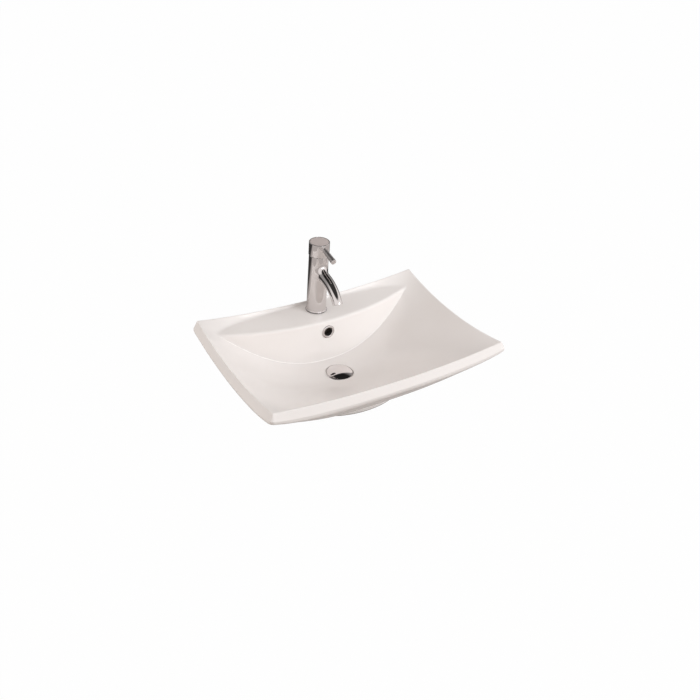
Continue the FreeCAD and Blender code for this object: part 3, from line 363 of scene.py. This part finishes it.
def bowl_body():
    """The bowl without its holes: glazed top, band, underside and foot as one closed skin."""
    x, y = plan_grid()
    rows, columns = x.shape
    x, y = x.ravel(), y.ravel()
    points = [np.stack([x, y, top_of_bowl(x, y)], 1)]
    faces = grid_faces(rows, columns)
    loop = boundary_of(rows, columns)
    count = len(loop)
    edge_x, edge_y = x[loop], y[loop]
    top_z = points[0][loop, 2]
    low_z = under_of_bowl(edge_x, edge_y)
    rings = [np.stack([edge_x, edge_y, top_z + (low_z - top_z) * share], 1)
             for share in np.linspace(0, 1, 9)[1:]]

    # the plan's points crowd at its corners, so they are spread a little on their way to the foot
    angle = np.unwrap(np.arctan2((edge_y + SET_BACK) / HALF_DEPTH, edge_x / HALF_WIDTH))
    even = angle[0] + np.arange(count) / count * math.copysign(2 * math.pi, angle[-1] - angle[0])
    spread = 0.2
    angle += (even - angle) * spread
    foot_out = np.stack([np.cos(angle), np.sin(angle)], 1)

    def oval(inset):
        return foot_out * [FOOT[0] - inset, FOOT[1] - inset] - [0, SET_BACK]

    flare = 5
    outer, root = np.stack([edge_x, edge_y], 1), oval(-flare)
    for share in (0.002, 0.006, 0.012, 0.02, 0.035, *np.linspace(0.06, 1, 24)):
        plan = outer + (root - outer) * share
        rings.append(np.column_stack([plan, under_of_bowl(plan[:, 0], plan[:, 1])]))
    root_z = rings[-1][:, 2]
    for turn in (20, 40, 60, 80, 90):
        out = flare * (1 - math.sin(math.radians(turn)))
        drop = flare * (1 - math.cos(math.radians(turn)))
        rings.append(np.column_stack([oval(-out), root_z - drop]))
    for inset, height in ((0, 1.5), (0.2, 0.75), (0.75, 0.2), (1.5, 0)):
        rings.append(np.column_stack([oval(inset), np.full(count, height)]))
    points += rings
    base = rows * columns
    ring_at = [base + k * count for k in range(len(rings))]
    faces += [(loop[k], loop[(k + 1) % count], base + (k + 1) % count, base + k) for k in range(count)]
    for first, second in zip(ring_at, ring_at[1:]):
        faces += ring_faces(first, second, count)
    faces.append([ring_at[-1] + k for k in range(count)])
    return skinned("glazed_bowl", np.concatenate(points), faces)


def core_top(x, y):
    """The upper face of the space inside the ceramic, a wall's thickness below the glaze."""
    dish = dish_at(x, y) - WALL_THICKNESS * steepness(dish_at, x, y)
    behind = np.hypot(x, y - DECK_FRONT - WALL_RADIUS) - WALL_RADIUS + WALL_THICKNESS
    return np.maximum(dish, DECK - WALL_THICKNESS - np.maximum(behind, 0) / WALL_LEAN)


def ring_space():
    """The space between dish and underside, as a tool."""
    across = np.linspace(-HALF_WIDTH + RIM_SOLID, HALF_WIDTH - RIM_SOLID, 72)
    along = np.linspace(-HALF_DEPTH + RIM_SOLID, HALF_DEPTH - RIM_SOLID, 60) - SET_BACK
    x, y = np.meshgrid(across, along)
    top = core_top(x, y)
    low = belly_at(x, y) + WALL_THICKNESS * steepness(belly_at, x, y)
    least = 0.6
    open_at = (top - low > least) & (inside_edge(x, y, RIM_SOLID) > -0.01)
    rows, columns = x.shape
    size = rows * columns
    points = np.concatenate([np.stack([x, y, z], -1).reshape(-1, 3) for z in (low, top)])
    faces, edges = [], {}
    for quad in grid_faces(rows, columns):
        if all(open_at.ravel()[corner] for corner in quad):
            faces += [quad[::-1], [corner + size for corner in quad]]
            for first, second in zip(quad, quad[1:] + quad[:1]):
                edges[(first, second)] = (second, first) not in edges
                if not edges[(first, second)]:
                    edges[(second, first)] = False
    faces += [(first, second, second + size, first + size)
              for (first, second), outer in edges.items() if outer]
    used = sorted({corner for face in faces for corner in face})
    place = {corner: k for k, corner in enumerate(used)}
    return skinned("ring_space", points[used], [[place[corner] for corner in face] for face in faces])


def foot_space():
    """The opening inside the foot, up to just under the floor of the dish, as a tool."""
    count = 160
    # the ceiling stays clear of the space between dish and underside
    clear = 1.5
    turn = np.linspace(0, 2 * math.pi, count, endpoint=False)
    oval = np.stack([np.cos(turn) * (FOOT[0] - FOOT_WALL), np.sin(turn) * (FOOT[1] - FOOT_WALL)], 1)
    rings = [np.column_stack([oval - [0, SET_BACK], np.full(count, UNDER)])]
    for share in np.linspace(1, 0.04, 22):
        plan = oval * share - [0, SET_BACK]
        rings.append(np.column_stack([plan, core_top(plan[:, 0], plan[:, 1]) - clear]))
    faces = [list(range(count))[::-1], [(len(rings) - 1) * count + k for k in range(count)]]
    for k in range(len(rings) - 1):
        faces += ring_faces(k * count, (k + 1) * count, count)
    return skinned("foot_space", np.concatenate(rings), faces)


def block(low, high):
    """A plain block between two corners, as a tool."""
    deselect()
    size = [b - a for a, b in zip(low, high)]
    middle = [(a + b) / 2 * MM for a, b in zip(low, high)]
    bpy.ops.mesh.primitive_cube_add(size=MM, location=middle, scale=size)
    return bpy.context.object


def rod(radius, low, length, turn=0):
    """A plain bar of one radius from its low end along its axis, turned about X, as a tool."""
    deselect()
    middle = Vector(low) + Matrix.Rotation(math.radians(turn), 3, "X") @ Vector((0, 0, length / 2))
    bpy.ops.mesh.primitive_cylinder_add(vertices=96, radius=radius * MM, depth=length * MM,
                                        location=middle * MM, rotation=(math.radians(turn), 0, 0))
    return bpy.context.object


def glazed_bowl():
    """The ceramic with its open underside, waste boss, overflow duct and three holes."""
    bowl = bowl_body()
    # the duct's lower end stands out behind the foot
    cut_away(bowl, block((-CASE_HALF, CASE_FRONT, CASE_LOW), (CASE_HALF, CASE_BACK, CASE_TOP)), "UNION")
    # boss and duct stay standing in the open underside, up to the dish and the deck
    inside, below = ring_space(), foot_space()
    over_dish, over_deck = 40, 140
    cut_away(below, rod(BOSS_RADIUS, (0, 0, CASE_LOW), over_dish))
    cut_away(below, block((-CASE_HALF, 0, CASE_LOW), (CASE_HALF, CASE_BACK, over_dish)))
    cut_away(inside, block((-CASE_HALF, CASE_FRONT - 2, CASE_LOW), (CASE_HALF, CASE_BACK, over_deck)))
    cut_away(bowl, below)
    # the opening under the tap, the duct's upright and level run, and the holes, cut right through
    access = rod(ACCESS_HALF[1], (0, TAP_Y, UNDER), DECK - WALL_THICKNESS + 7)
    access.scale.x = ACCESS_HALF[0] / ACCESS_HALF[1]
    cut_away(bowl, access)
    cut_away(bowl, block((-DUCT_HALF, DUCT_FRONT, DUCT_FLOOR), (DUCT_HALF, DUCT_BACK, DUCT_TOP)))
    cut_away(bowl, block((-DUCT_HALF, 0, DUCT_FLOOR), (DUCT_HALF, DUCT_BACK, DUCT_ROOF)))
    cut_away(bowl, rod(WASTE_SEAT_RADIUS, (0, 0, WASTE_SEAT), 12))
    cut_away(bowl, rod(WASTE_HOLE, (0, 0, UNDER), 80))
    cut_away(bowl, rod(TAP_HOLE, (0, TAP_Y, DECK - 30), 60))
    in_duct = (0, (DUCT_FRONT + DUCT_BACK) / 2, OVERFLOW - 11.6 * WALL_LEAN)
    cut_away(bowl, rod(OVERFLOW_HOLE, in_duct, 40, 90 - WALL_TILT))
    cut_away(bowl, inside)
    return settle(bowl, "glazed_bowl", 50)


def arc(centre, radius, start, stop, count):
    """Points of an arc in a section, from one angle to another in degrees."""
    angles = np.radians(np.linspace(start, stop, count))
    return [(centre[0] + radius * math.cos(a), centre[1] + radius * math.sin(a)) for a in angles]


def tap_body():
    """The slim tap body, turned, with the spout growing out of it through a soft fillet."""
    plinth, bore, ease = 21.3, 17.6, 0.8
    top_radius = TAP_RADIUS - TAP_TAPER
    section = [(0, GASKET), (plinth, GASKET), (plinth, RING_TOP), (TAP_RADIUS, RING_TOP),
               (top_radius, TAP_TOP - ease), (top_radius - ease, TAP_TOP), (bore, TAP_TOP),
               (bore, CARTRIDGE_SEAT), (0, CARTRIDGE_SEAT)]
    body = spun("tap_turning", section, 160, 0.25, (0, TAP_Y, DECK))

    count = 72
    turn = np.linspace(0, 2 * math.pi, count, endpoint=False)
    across, rise = np.sin(turn), np.cos(turn)
    # the fillet flows widely above the spout and is close to nothing below it
    fillet = 3 + 14 * ((1 + rise) / 2) ** 1.5

    def face_of_body(x, z):
        radius = TAP_RADIUS - TAP_TAPER * (z - RING_TOP) / (TAP_TOP - 8)
        return np.sqrt(radius ** 2 - x ** 2)

    def on_spout(sweep, radius, height, ahead=0.0):
        along = SPOUT_BEND + rise * radius
        y = -SPOUT_STRAIGHT - along * np.sin(sweep) - ahead * np.cos(sweep)
        z = height - SPOUT_BEND + along * np.cos(sweep) - ahead * np.sin(sweep)
        return np.stack([across * radius, y, z], 1)

    # the spout is a little stouter and higher at its root than at its outlet
    swell, lift = 1.2, 3.5
    root, top = SPOUT_RADIUS + swell, SPOUT_HEIGHT + lift
    reach = face_of_body(across * root, top + rise * root) + fillet
    start = np.arcsin(np.maximum(reach - SPOUT_STRAIGHT, 0) / (SPOUT_BEND + rise * root))
    drop = (SPOUT_BEND + rise * root) * (1 - np.cos(start))
    inner = 8
    rings = [np.stack([across * inner, np.zeros(count), SPOUT_HEIGHT + rise * inner], 1)]
    for angle in np.radians(np.linspace(0, 90, 14)):
        out = root + fillet * (1 - math.sin(angle))
        x, z = across * out, top + rise * out
        bent = 1 - math.cos(angle)
        rings.append(np.stack([x, -face_of_body(x, z) - fillet * bent - 0.02, z - drop * bent], 1))
    for share in np.linspace(0, 1, 33)[1:]:
        sweep = start + (SPOUT_SWEEP - start) * share
        left = (1 - sweep / SPOUT_SWEEP) ** 2
        rings.append(on_spout(sweep, SPOUT_RADIUS + swell * left, SPOUT_HEIGHT + lift * left))
    # the outlet's eased edge and the bore that takes the aerator
    edge = ((11.9, 0.12), (11.75, 0.2), (11.6, 0.22), (10.65, 0.22), (OUTLET_RADIUS, 0.1))
    for radius, ahead in (*edge, (OUTLET_RADIUS, -12.8)):
        rings.append(on_spout(SPOUT_SWEEP, radius, SPOUT_HEIGHT, ahead))
    faces = [list(range(count)), [(len(rings) - 1) * count + k for k in range(count)]]
    for k in range(len(rings) - 1):
        faces += ring_faces(k * count, (k + 1) * count, count)
    spout = skinned("tap_spout", np.concatenate(rings) + [0, TAP_Y, DECK], faces)
    take(body)
    spout.select_set(True)
    bpy.ops.object.join()
    return settle(body, "chromed_tap_body", 40)


def dress(piece, node, body):
    """Let a piece stand for a CAD node and move with a body."""
    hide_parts(node)
    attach(piece, body)
    return piece


# The nine visible pieces
OUTLET = (0, TAP_Y - SPOUT_STRAIGHT - SPOUT_BEND * math.sin(SPOUT_SWEEP),
          DECK + SPOUT_HEIGHT - SPOUT_BEND * (1 - math.cos(SPOUT_SWEEP)))
OUTLET_TURN = 90 + math.degrees(SPOUT_SWEEP)
OVERFLOW_AT = (0, DECK_FRONT - OVERFLOW_DROP * WALL_LEAN, OVERFLOW)
# the lever's axis starts on the tap's axis and leaves the cap at a set distance below its top
LEVER_AT = (0, TAP_Y, CAP_TOP - LEVER_DROP + LEVER_EXIT * math.tan(math.radians(LEVER_LEAN)))

bowl = dress(glazed_bowl(), "basin_bowl", "basin")
tap = dress(tap_body(), "tap_body", "basin")

# a collar that flares out to the deck in a hollow curve
ring_section = [(21.35, GASKET), (26.37, GASKET)] + arc((27.15, 4.8), 3, 255, 180, 14)
ring_section += [(24.15, RING_TOP), (21.35, RING_TOP)]
base_ring = spun("chromed_base_ring", ring_section, 128, 0, (0, TAP_Y, DECK))
dress(base_ring, "base_ring", "basin")

# a rounded ring with a sleeve that reaches into the wall
overflow_section = [(10.5, -9), (12.4, -9), (12.4, 0), (17, 0), (16.9, 0.7), (16.5, 1.4), (15.7, 2),
                    (14.6, 2.35), (13.6, 2.4), (12.4, 2.2), (11.4, 1.7), (10.7, 1), (10.5, 0.4)]
overflow_ring = spun("chromed_overflow_ring", overflow_section, 96, 0, OVERFLOW_AT, 90 - WALL_TILT)
dress(overflow_ring, "overflow_ring", "basin")

# a thin sleeve in the outlet with a lip over its edge
aerator_section = [(8.85, -11.8), (10.55, -11.8), (10.55, 0.25), (11.2, 0.25), (11.2, 1), (8.85, 1)]
aerator = spun("chromed_aerator", aerator_section, 96, 0.2, OUTLET, OUTLET_TURN)
dress(aerator, "aerator_housing", "basin")

# a low dome with a socket for the plunger below it
dome_low = WASTE_SEAT + 4.6
dome_top = dome_low + 1 + DOME_RISE
ball = (DOME_RADIUS ** 2 + DOME_RISE ** 2) / (2 * DOME_RISE)
dome_side = math.degrees(math.asin(DOME_RADIUS / ball))
dome_section = [(0, dome_top - 2.1), (3.05, dome_top - 2.1), (3.05, dome_top - 7.1), (7, dome_top - 7.1),
                (7, dome_low + 2), (26.05, dome_low + 2), (26.05, dome_low), (30.4, dome_low),
                (DOME_RADIUS, dome_low + 0.5), (DOME_RADIUS, dome_low + 1)]
dome_section += arc((0, dome_top - ball), ball, 90 - dome_side, 90, 26)[:-1] + [(0, dome_top)]
waste_cap = spun("chromed_waste_cap", dome_section, 144, 0.2)
dress(waste_cap, "waste_cap", "waste_plug")

# the cap's hollow leaves a stem for the spindle, and its back has the grub screw's hole
cap_section = [(0, 15), (4.05, 15), (4.05, 5), (8, 5), (8, 15), (22.1, 15), (23.5, 5), (23.5, 0), (24.5, 0),
               (24.5, 31.2), (23.7, 32), (22.4, 32), (22.4, 30), (0, 30)]
handle_cap = spun("chromed_handle_cap", cap_section, 160, 0.3, (0, TAP_Y, CAP_LOW))
cut_away(handle_cap, rod(2.8, (0, TAP_Y + 30, CAP_LOW + 10), 12, 90))
dress(settle(handle_cap, "chromed_handle_cap"), "handle_cap", "handle")

disc_section = [(0, 30), (21.9, 30), (21.9, 31.2), (21.5, 31.6), (0, 31.8)]
top_disc = spun("satin_top_disc", disc_section, 128, 0.2, (0, TAP_Y, CAP_LOW))
dress(top_disc, "handle_top_disc", "handle")

lever_section = [(0, 13), (5.4, 13), (5.5, 25), (6.6, 68.8)] + arc((5.4, 68.8), 1.2, 5, 90, 6) + [(0, 70)]
lever = spun("chromed_pin_lever", lever_section, 64, 0, LEVER_AT, 90 + LEVER_LEAN)
dress(lever, "handle_lever", "handle")


# Finishes
def to_linear(code):
    """An sRGB hex colour as linear red, green, blue and alpha."""
    parts = [int(code[k:k + 2], 16) / 255 for k in (0, 2, 4)]
    return [part / 12.92 if part <= 0.04045 else ((part + 0.055) / 1.055) ** 2.4 for part in parts] + [1]


def add_node(tree, kind, links=None, **settings):
    """Add one node, with its settings or socket values and its incoming links."""
    node = tree.nodes.new(kind)
    for key, setting in settings.items():
        if key in node.inputs:
            node.inputs[key].default_value = setting
        else:
            setattr(node, key, setting)
    for socket, source in (links or {}).items():
        tree.links.new(source, node.inputs[socket])
    return node


def new_material(name):
    """An empty material with its output node."""
    material = bpy.data.materials.new(name)
    material.use_nodes = True
    tree = material.node_tree
    tree.nodes.clear()
    return material, tree, add_node(tree, "ShaderNodeOutputMaterial")


def per_metre(millimetres):
    """Pattern scale for features of a real size."""
    return 1000 / millimetres


def glazed_vitreous_china(name, painted_glow=0.0):
    """China under a white glaze: a warm white body and a glassy skin with a faint orange-peel wave, and an
    optional faint white glow that paints a highlight.
    """
    material, tree, out = new_material(name)
    place = add_node(tree, "ShaderNodeTexCoord")
    # the glaze pools a little thicker in places, which warms its white over hand-sized areas
    pools = add_node(tree, "ShaderNodeTexNoise", {"Vector": place.outputs["Object"]},
                     Scale=per_metre(90), Detail=2.0)
    tint = add_node(tree, "ShaderNodeMix", {"Factor": pools.outputs["Fac"]}, data_type="RGBA",
                    A=to_linear("F4EFEC"), B=to_linear("F1EBE7"))
    # the foot's last millimetres are darker: partly the body left unglazed, partly a painted contact shadow
    # where the foot meets the counter
    spot = add_node(tree, "ShaderNodeSeparateXYZ", {"Vector": place.outputs["Object"]})
    unglazed_edge_and_shadow = add_node(tree, "ShaderNodeMapRange", {"Value": spot.outputs["Z"]},
                     **{"From Min": 1.8 * MM, "From Max": 3 * MM, "To Min": 1, "To Max": 0})
    coat = add_node(tree, "ShaderNodeMix", {"Factor": unglazed_edge_and_shadow.outputs["Result"], "A": tint.outputs["Result"]},
                    data_type="RGBA", B=to_linear("7F746B"))
    # the slope that faces the wall is worn a little duller: it shows no mirror image of the waste
    facing = add_node(tree, "ShaderNodeSeparateXYZ", {"Vector": place.outputs["Normal"]})
    dull = add_node(tree, "ShaderNodeMapRange", {"Value": facing.outputs["Y"]},
                    **{"From Min": -0.1, "From Max": 0.5, "To Min": 0.1, "To Max": 0.255})
    # orange peel: waves about 9 mm long, drawn deeper than life so that they bend the reflections
    peel = add_node(tree, "ShaderNodeTexNoise", {"Vector": place.outputs["Object"]},
                    Scale=per_metre(9), Detail=1.0)
    wave = add_node(tree, "ShaderNodeBump", {"Height": peel.outputs["Fac"]}, Strength=0.04, Distance=0.4 * MM)
    # an emission above zero is a painted highlight, a glow that no lamp gives
    shader = add_node(tree, "ShaderNodeBsdfPrincipled",
                      {"Base Color": coat.outputs["Result"], "Normal": wave.outputs["Normal"],
                       "Roughness": dull.outputs["Result"]},
                      IOR=1.48, **{"Emission Color": (1, 1, 1, 1), "Emission Strength": painted_glow})
    tree.links.new(shader.outputs["BSDF"], out.inputs["Surface"])
    return material


def polished_metal(name, tone, shade, roughness, brush, metallic=1.0):
    """Metal whose polish marks, brush millimetres wide, move its roughness and colour a little."""
    material, tree, out = new_material(name)
    place = add_node(tree, "ShaderNodeTexCoord")
    marks = add_node(tree, "ShaderNodeTexNoise", {"Vector": place.outputs["Object"]},
                     Scale=per_metre(brush), Detail=4.0)
    tint = add_node(tree, "ShaderNodeMix", {"Factor": marks.outputs["Fac"]}, data_type="RGBA",
                    A=to_linear(tone), B=to_linear(shade))
    gloss = add_node(tree, "ShaderNodeMapRange", {"Value": marks.outputs["Fac"]},
                     **{"To Min": roughness * 0.8, "To Max": roughness * 1.2})
    shader = add_node(tree, "ShaderNodeBsdfPrincipled",
                      {"Base Color": tint.outputs["Result"], "Roughness": gloss.outputs["Result"]},
                      Metallic=metallic)
    tree.links.new(shader.outputs["BSDF"], out.inputs["Surface"])
    return material


def moulded(name, tone, shade, roughness, grain):
    """Rubber, plastic or bare ceramic with a grain in colour and surface, grain millimetres wide."""
    material, tree, out = new_material(name)
    place = add_node(tree, "ShaderNodeTexCoord")
    speck = add_node(tree, "ShaderNodeTexNoise", {"Vector": place.outputs["Object"]},
                     Scale=per_metre(grain), Detail=3.0)
    tint = add_node(tree, "ShaderNodeMix", {"Factor": speck.outputs["Fac"]}, data_type="RGBA",
                    A=to_linear(tone), B=to_linear(shade))
    relief = add_node(tree, "ShaderNodeBump", {"Height": speck.outputs["Fac"]},
                      Strength=0.15, Distance=0.1 * MM)
    shader = add_node(tree, "ShaderNodeBsdfPrincipled",
                      {"Base Color": tint.outputs["Result"], "Normal": relief.outputs["Normal"]},
                      Roughness=roughness)
    tree.links.new(shader.outputs["BSDF"], out.inputs["Surface"])
    return material


china = glazed_vitreous_china("glazed_vitreous_china")
# a painted highlight: the crease's glaze glows faintly, drawing a thin white line that the lamps don't draw
painted_crease_highlight = glazed_vitreous_china("glaze_painted_crease_highlight", 0.16)
chrome = polished_metal("polished_chrome_plate", "E4E0DF", "DDD9D8", 0.05, 14)
worn = polished_metal("hand_worn_chrome_plate", "E4E0DF", "DDD9D8", 0.45, 3)
satin = polished_metal("satin_chrome_plate", "EEE2DE", "E6DAD6", 0.36, 1.2, 0.5)
brass = polished_metal("machined_brass", "C9A35C", "B98F4A", 0.22, 2)
steel = polished_metal("zinc_plated_steel", "B9BBBD", "A6A9AC", 0.3, 3)
rubber = moulded("black_nitrile_rubber", "161616", "222222", 0.7, 1.5)
plastic = moulded("white_acetal", "ECEBE6", "E4E3DD", 0.45, 2)
# a dark brown for the unglazed duct: painted shade inside the overflow's hole
bare_duct_painted_shade = moulded("bare_china_painted_shade", "5E554F", "665C55", 0.8, 2)
sleeve_dark_and_shade = moulded("overflow_sleeve_painted_shade", "3A3736", "423F3D", 0.4, 2)
alumina = moulded("lapped_alumina", "EDEAE2", "E6E2D9", 0.25, 2)

SLOT_FINISH = {"china": china, "chrome": chrome, "rubber": rubber, "plastic": plastic, "brass": brass,
               "steel": steel, "disc_ceramic": alumina}


def finish(piece, material):
    """Give a piece one material all over."""
    piece.data.materials.clear()
    piece.data.materials.append(material)


def finish_within(piece, material, inside):
    """Give the faces whose corners all pass a test another material."""
    piece.data.materials.append(material)
    corners = inside(*np.array([corner.co / MM for corner in piece.data.vertices]).T)
    for face in piece.data.polygons:
        if all(corners[k] for k in face.vertices):
            face.material_index = len(piece.data.materials) - 1


def on_duct(x, y, z):
    """Whether points are on the walls of the overflow duct's upright."""
    near = 0.2
    between = (DUCT_FRONT - near < y) & (y < DUCT_BACK + near)
    return (np.abs(x) < DUCT_HALF + near) & between & (DUCT_FLOOR - near < z) & (z < DUCT_TOP + near)


def in_sleeve(x, y, z):
    """Whether points are in the bore of the overflow ring."""
    return np.hypot(x, z - OVERFLOW + (y - DECK_FRONT) * WALL_LEAN) < 11


def in_crease(x, y, z):
    """Whether points are in the fillet between dish and wall, below the deck's edge."""
    over_dish = (z - dish_at(x, y)) / steepness(dish_at, x, y)
    off_wall = np.hypot(x, y - DECK_FRONT - WALL_RADIUS) - WALL_RADIUS - (DECK - z) * WALL_LEAN
    nearer, farther = np.minimum(over_dish, off_wall), np.maximum(over_dish, off_wall)
    return (nearer > -0.2) & (farther < 1.5) & (z < DECK - 12)


for part in frame["record"]["subparts"]:
    finish(nodes[part["node"]], SLOT_FINISH[part["material_slot"]])
finish(bowl, china)
for piece in (tap, base_ring, overflow_ring, aerator, waste_cap, handle_cap):
    finish(piece, chrome)
# fingers have dulled the lever, so it mirrors no hard edges
finish(lever, worn)
finish(top_disc, satin)
# the duct behind the overflow has no glaze and is painted dark as the shade inside the hole, and the ring's
# sleeve is a dark moulding whose darkness also paints that shade
finish_within(bowl, bare_duct_painted_shade, on_duct)
finish_within(overflow_ring, sleeve_dark_and_shade, in_sleeve)
# the fillet between dish and wall takes the glowing glaze: a painted highlight line
finish_within(bowl, painted_crease_highlight, in_crease)


# Studio: a white room with a dark ceiling, lamps in front and on the left, and a faintly shaded counter
def shows_background(tree, path):
    """One for rays that show the background itself, from the camera or through glass."""
    rays = {0: path.outputs["Is Camera Ray"], 1: path.outputs["Is Transmission Ray"]}
    return add_node(tree, "ShaderNodeMath", rays, operation="MAXIMUM").outputs[0]


def white_room():
    """The world: plain white to the camera, a soft light on the glaze and a darker room in the metal."""
    room = bpy.data.worlds.new("white_room")
    bpy.context.scene.world = room
    room.use_nodes = True
    tree = room.node_tree
    tree.nodes.clear()
    path = add_node(tree, "ShaderNodeLightPath")
    ways = add_node(tree, "ShaderNodeTexCoord")
    way = add_node(tree, "ShaderNodeSeparateXYZ", {"Vector": ways.outputs["Generated"]})
    # the walls light the glaze more than the ceiling does, and their foot is in shade
    wash = add_node(tree, "ShaderNodeMapRange", {"Value": way.outputs["Z"]},
                    **{"From Min": 0.2, "From Max": 0.9, "To Min": 0.96, "To Max": 0.5})
    skirt = add_node(tree, "ShaderNodeMapRange", {"Value": way.outputs["Z"]},
                     **{"From Min": 0.0, "From Max": 0.28, "To Min": 0.42, "To Max": 1.0})
    level = add_node(tree, "ShaderNodeMath", {0: wash.outputs["Result"], 1: skirt.outputs["Result"]},
                     operation="MINIMUM")
    lit = add_node(tree, "ShaderNodeBackground", {"Strength": level.outputs[0]}, Color=to_linear("FFFAF7"))
    # polished metal mirrors a ceiling that is dark from about 40 degrees up, and a dim room behind the bowl
    ceiling = add_node(tree, "ShaderNodeMapRange", {"Value": way.outputs["Z"]},
                       interpolation_type="SMOOTHSTEP",
                       **{"From Min": 0.585, "From Max": 0.74, "To Min": 0.97, "To Max": 0.04})
    behind = add_node(tree, "ShaderNodeMapRange", {"Value": way.outputs["Y"]},
                      interpolation_type="SMOOTHSTEP",
                      **{"From Min": -0.1, "From Max": 0.45, "To Min": 1.0, "To Max": 0.36})
    tone = add_node(tree, "ShaderNodeMath", {0: ceiling.outputs["Result"], 1: behind.outputs["Result"]},
                    operation="MULTIPLY")
    mirrored = add_node(tree, "ShaderNodeBackground", {"Strength": tone.outputs[0]},
                        Color=to_linear("FFFAF8"))
    shown = add_node(tree, "ShaderNodeBackground", Color=(1, 1, 1, 1), Strength=1.0)
    inner = add_node(tree, "ShaderNodeMixShader", {"Fac": path.outputs["Is Glossy Ray"],
                                                   1: lit.outputs[0], 2: mirrored.outputs[0]})
    whole = add_node(tree, "ShaderNodeMixShader", {"Fac": shows_background(tree, path),
                                                   1: inner.outputs[0], 2: shown.outputs[0]})
    add_node(tree, "ShaderNodeOutputWorld", {"Surface": whole.outputs[0]})


def white_counter():
    """A wide counter: nearly plain white to the camera, so that only a faint shadow shows."""
    deselect()
    bpy.ops.mesh.primitive_plane_add(size=60, location=(0, 0, 0))
    counter = bpy.context.object
    counter.name = "counter"
    paint, tree, out = new_material("white_counter")
    path = add_node(tree, "ShaderNodeLightPath")
    matt = add_node(tree, "ShaderNodeBsdfDiffuse", Color=to_linear("8C8176"))
    # polished metal mirrors a bright table in front of the bowl and a dark room behind it
    place = add_node(tree, "ShaderNodeTexCoord")
    where = add_node(tree, "ShaderNodeSeparateXYZ", {"Vector": place.outputs["Object"]})
    depth = add_node(tree, "ShaderNodeMapRange", {"Value": where.outputs["Y"]},
                     interpolation_type="SMOOTHSTEP",
                     **{"From Min": 0.3, "From Max": 0.5, "To Min": 0.54, "To Max": 0.05})
    table = add_node(tree, "ShaderNodeEmission", {"Strength": depth.outputs["Result"]},
                     Color=to_linear("FFF6F2"))
    lying = add_node(tree, "ShaderNodeMixShader", {"Fac": path.outputs["Is Glossy Ray"],
                                                   1: matt.outputs[0], 2: table.outputs[0]})
    glow = add_node(tree, "ShaderNodeEmission", Color=(1, 1, 1, 1), Strength=1.0)
    unshaded = 0.99
    faint = add_node(tree, "ShaderNodeMath", {0: shows_background(tree, path)}, operation="MULTIPLY")
    faint.inputs[1].default_value = unshaded
    blend = add_node(tree, "ShaderNodeMixShader", {"Fac": faint.outputs[0],
                                                   1: lying.outputs[0], 2: glow.outputs[0]})
    tree.links.new(blend.outputs[0], out.inputs["Surface"])
    finish(counter, paint)
    return counter


def soft_lamp(name, place, aim, size, power):
    """A square soft lamp that looks at a point."""
    lamp = bpy.data.objects.new(name, bpy.data.lights.new(name, "AREA"))
    bpy.context.scene.collection.objects.link(lamp)
    lamp.data.size = size
    lamp.data.energy = power
    lamp.location = place
    lamp.rotation_euler = (Vector(aim) - Vector(place)).to_track_quat("-Z", "Y").to_euler()
    return lamp


white_room()
counter = white_counter()

# the main light, and a weak wide panel for metal and glaze to mirror
front_lamp = soft_lamp("front_lamp", (1.5, -2.1, 1.4), (0, 0, 0.1), 1.2, 45)
front_panel = soft_lamp("front_panel", (0.5, -2.5, 1.4), (0, 0, 0.1), 2.0, 11)
front_panel.data.shape = "RECTANGLE"
front_panel.data.size_y = 0.6
front_panel.visible_diffuse = False
# a fill from the left for the side of the bowl
side_lamp = soft_lamp("side_lamp", (-1.5, 0.4, 0.25), (-0.2, 0, 0.1), 1.2, 8.5)
for lamp in (front_lamp, side_lamp):
    lamp.visible_glossy = False
for lamp in (front_lamp, front_panel):
    lamp.data.color = to_linear("F4FAFF")[:3]


# Camera, where the photograph was taken from
camera = bpy.data.objects.new("camera", bpy.data.cameras.new("camera"))
bpy.context.scene.collection.objects.link(camera)
camera.data.sensor_width = 36
camera.data.lens = 43.545
camera.data.clip_start = 0.01
turn, rise, roll = math.radians(-33.776), math.radians(34.159), math.radians(4.531)
back = Vector((math.sin(turn) * math.cos(rise), -math.cos(turn) * math.cos(rise), math.sin(rise)))
level = back.cross(Vector((0, 0, 1))).normalized() * -1
upright = back.cross(level)
right = level * math.cos(roll) + upright * math.sin(roll)
up = upright * math.cos(roll) - level * math.sin(roll)
camera.matrix_world = Matrix((right, up, back)).transposed().to_4x4()
camera.location = Vector((-903.66, -1388.45, 1213.79)) * MM
bpy.context.scene.camera = camera

bpy.context.scene.view_settings.view_transform = "Standard"
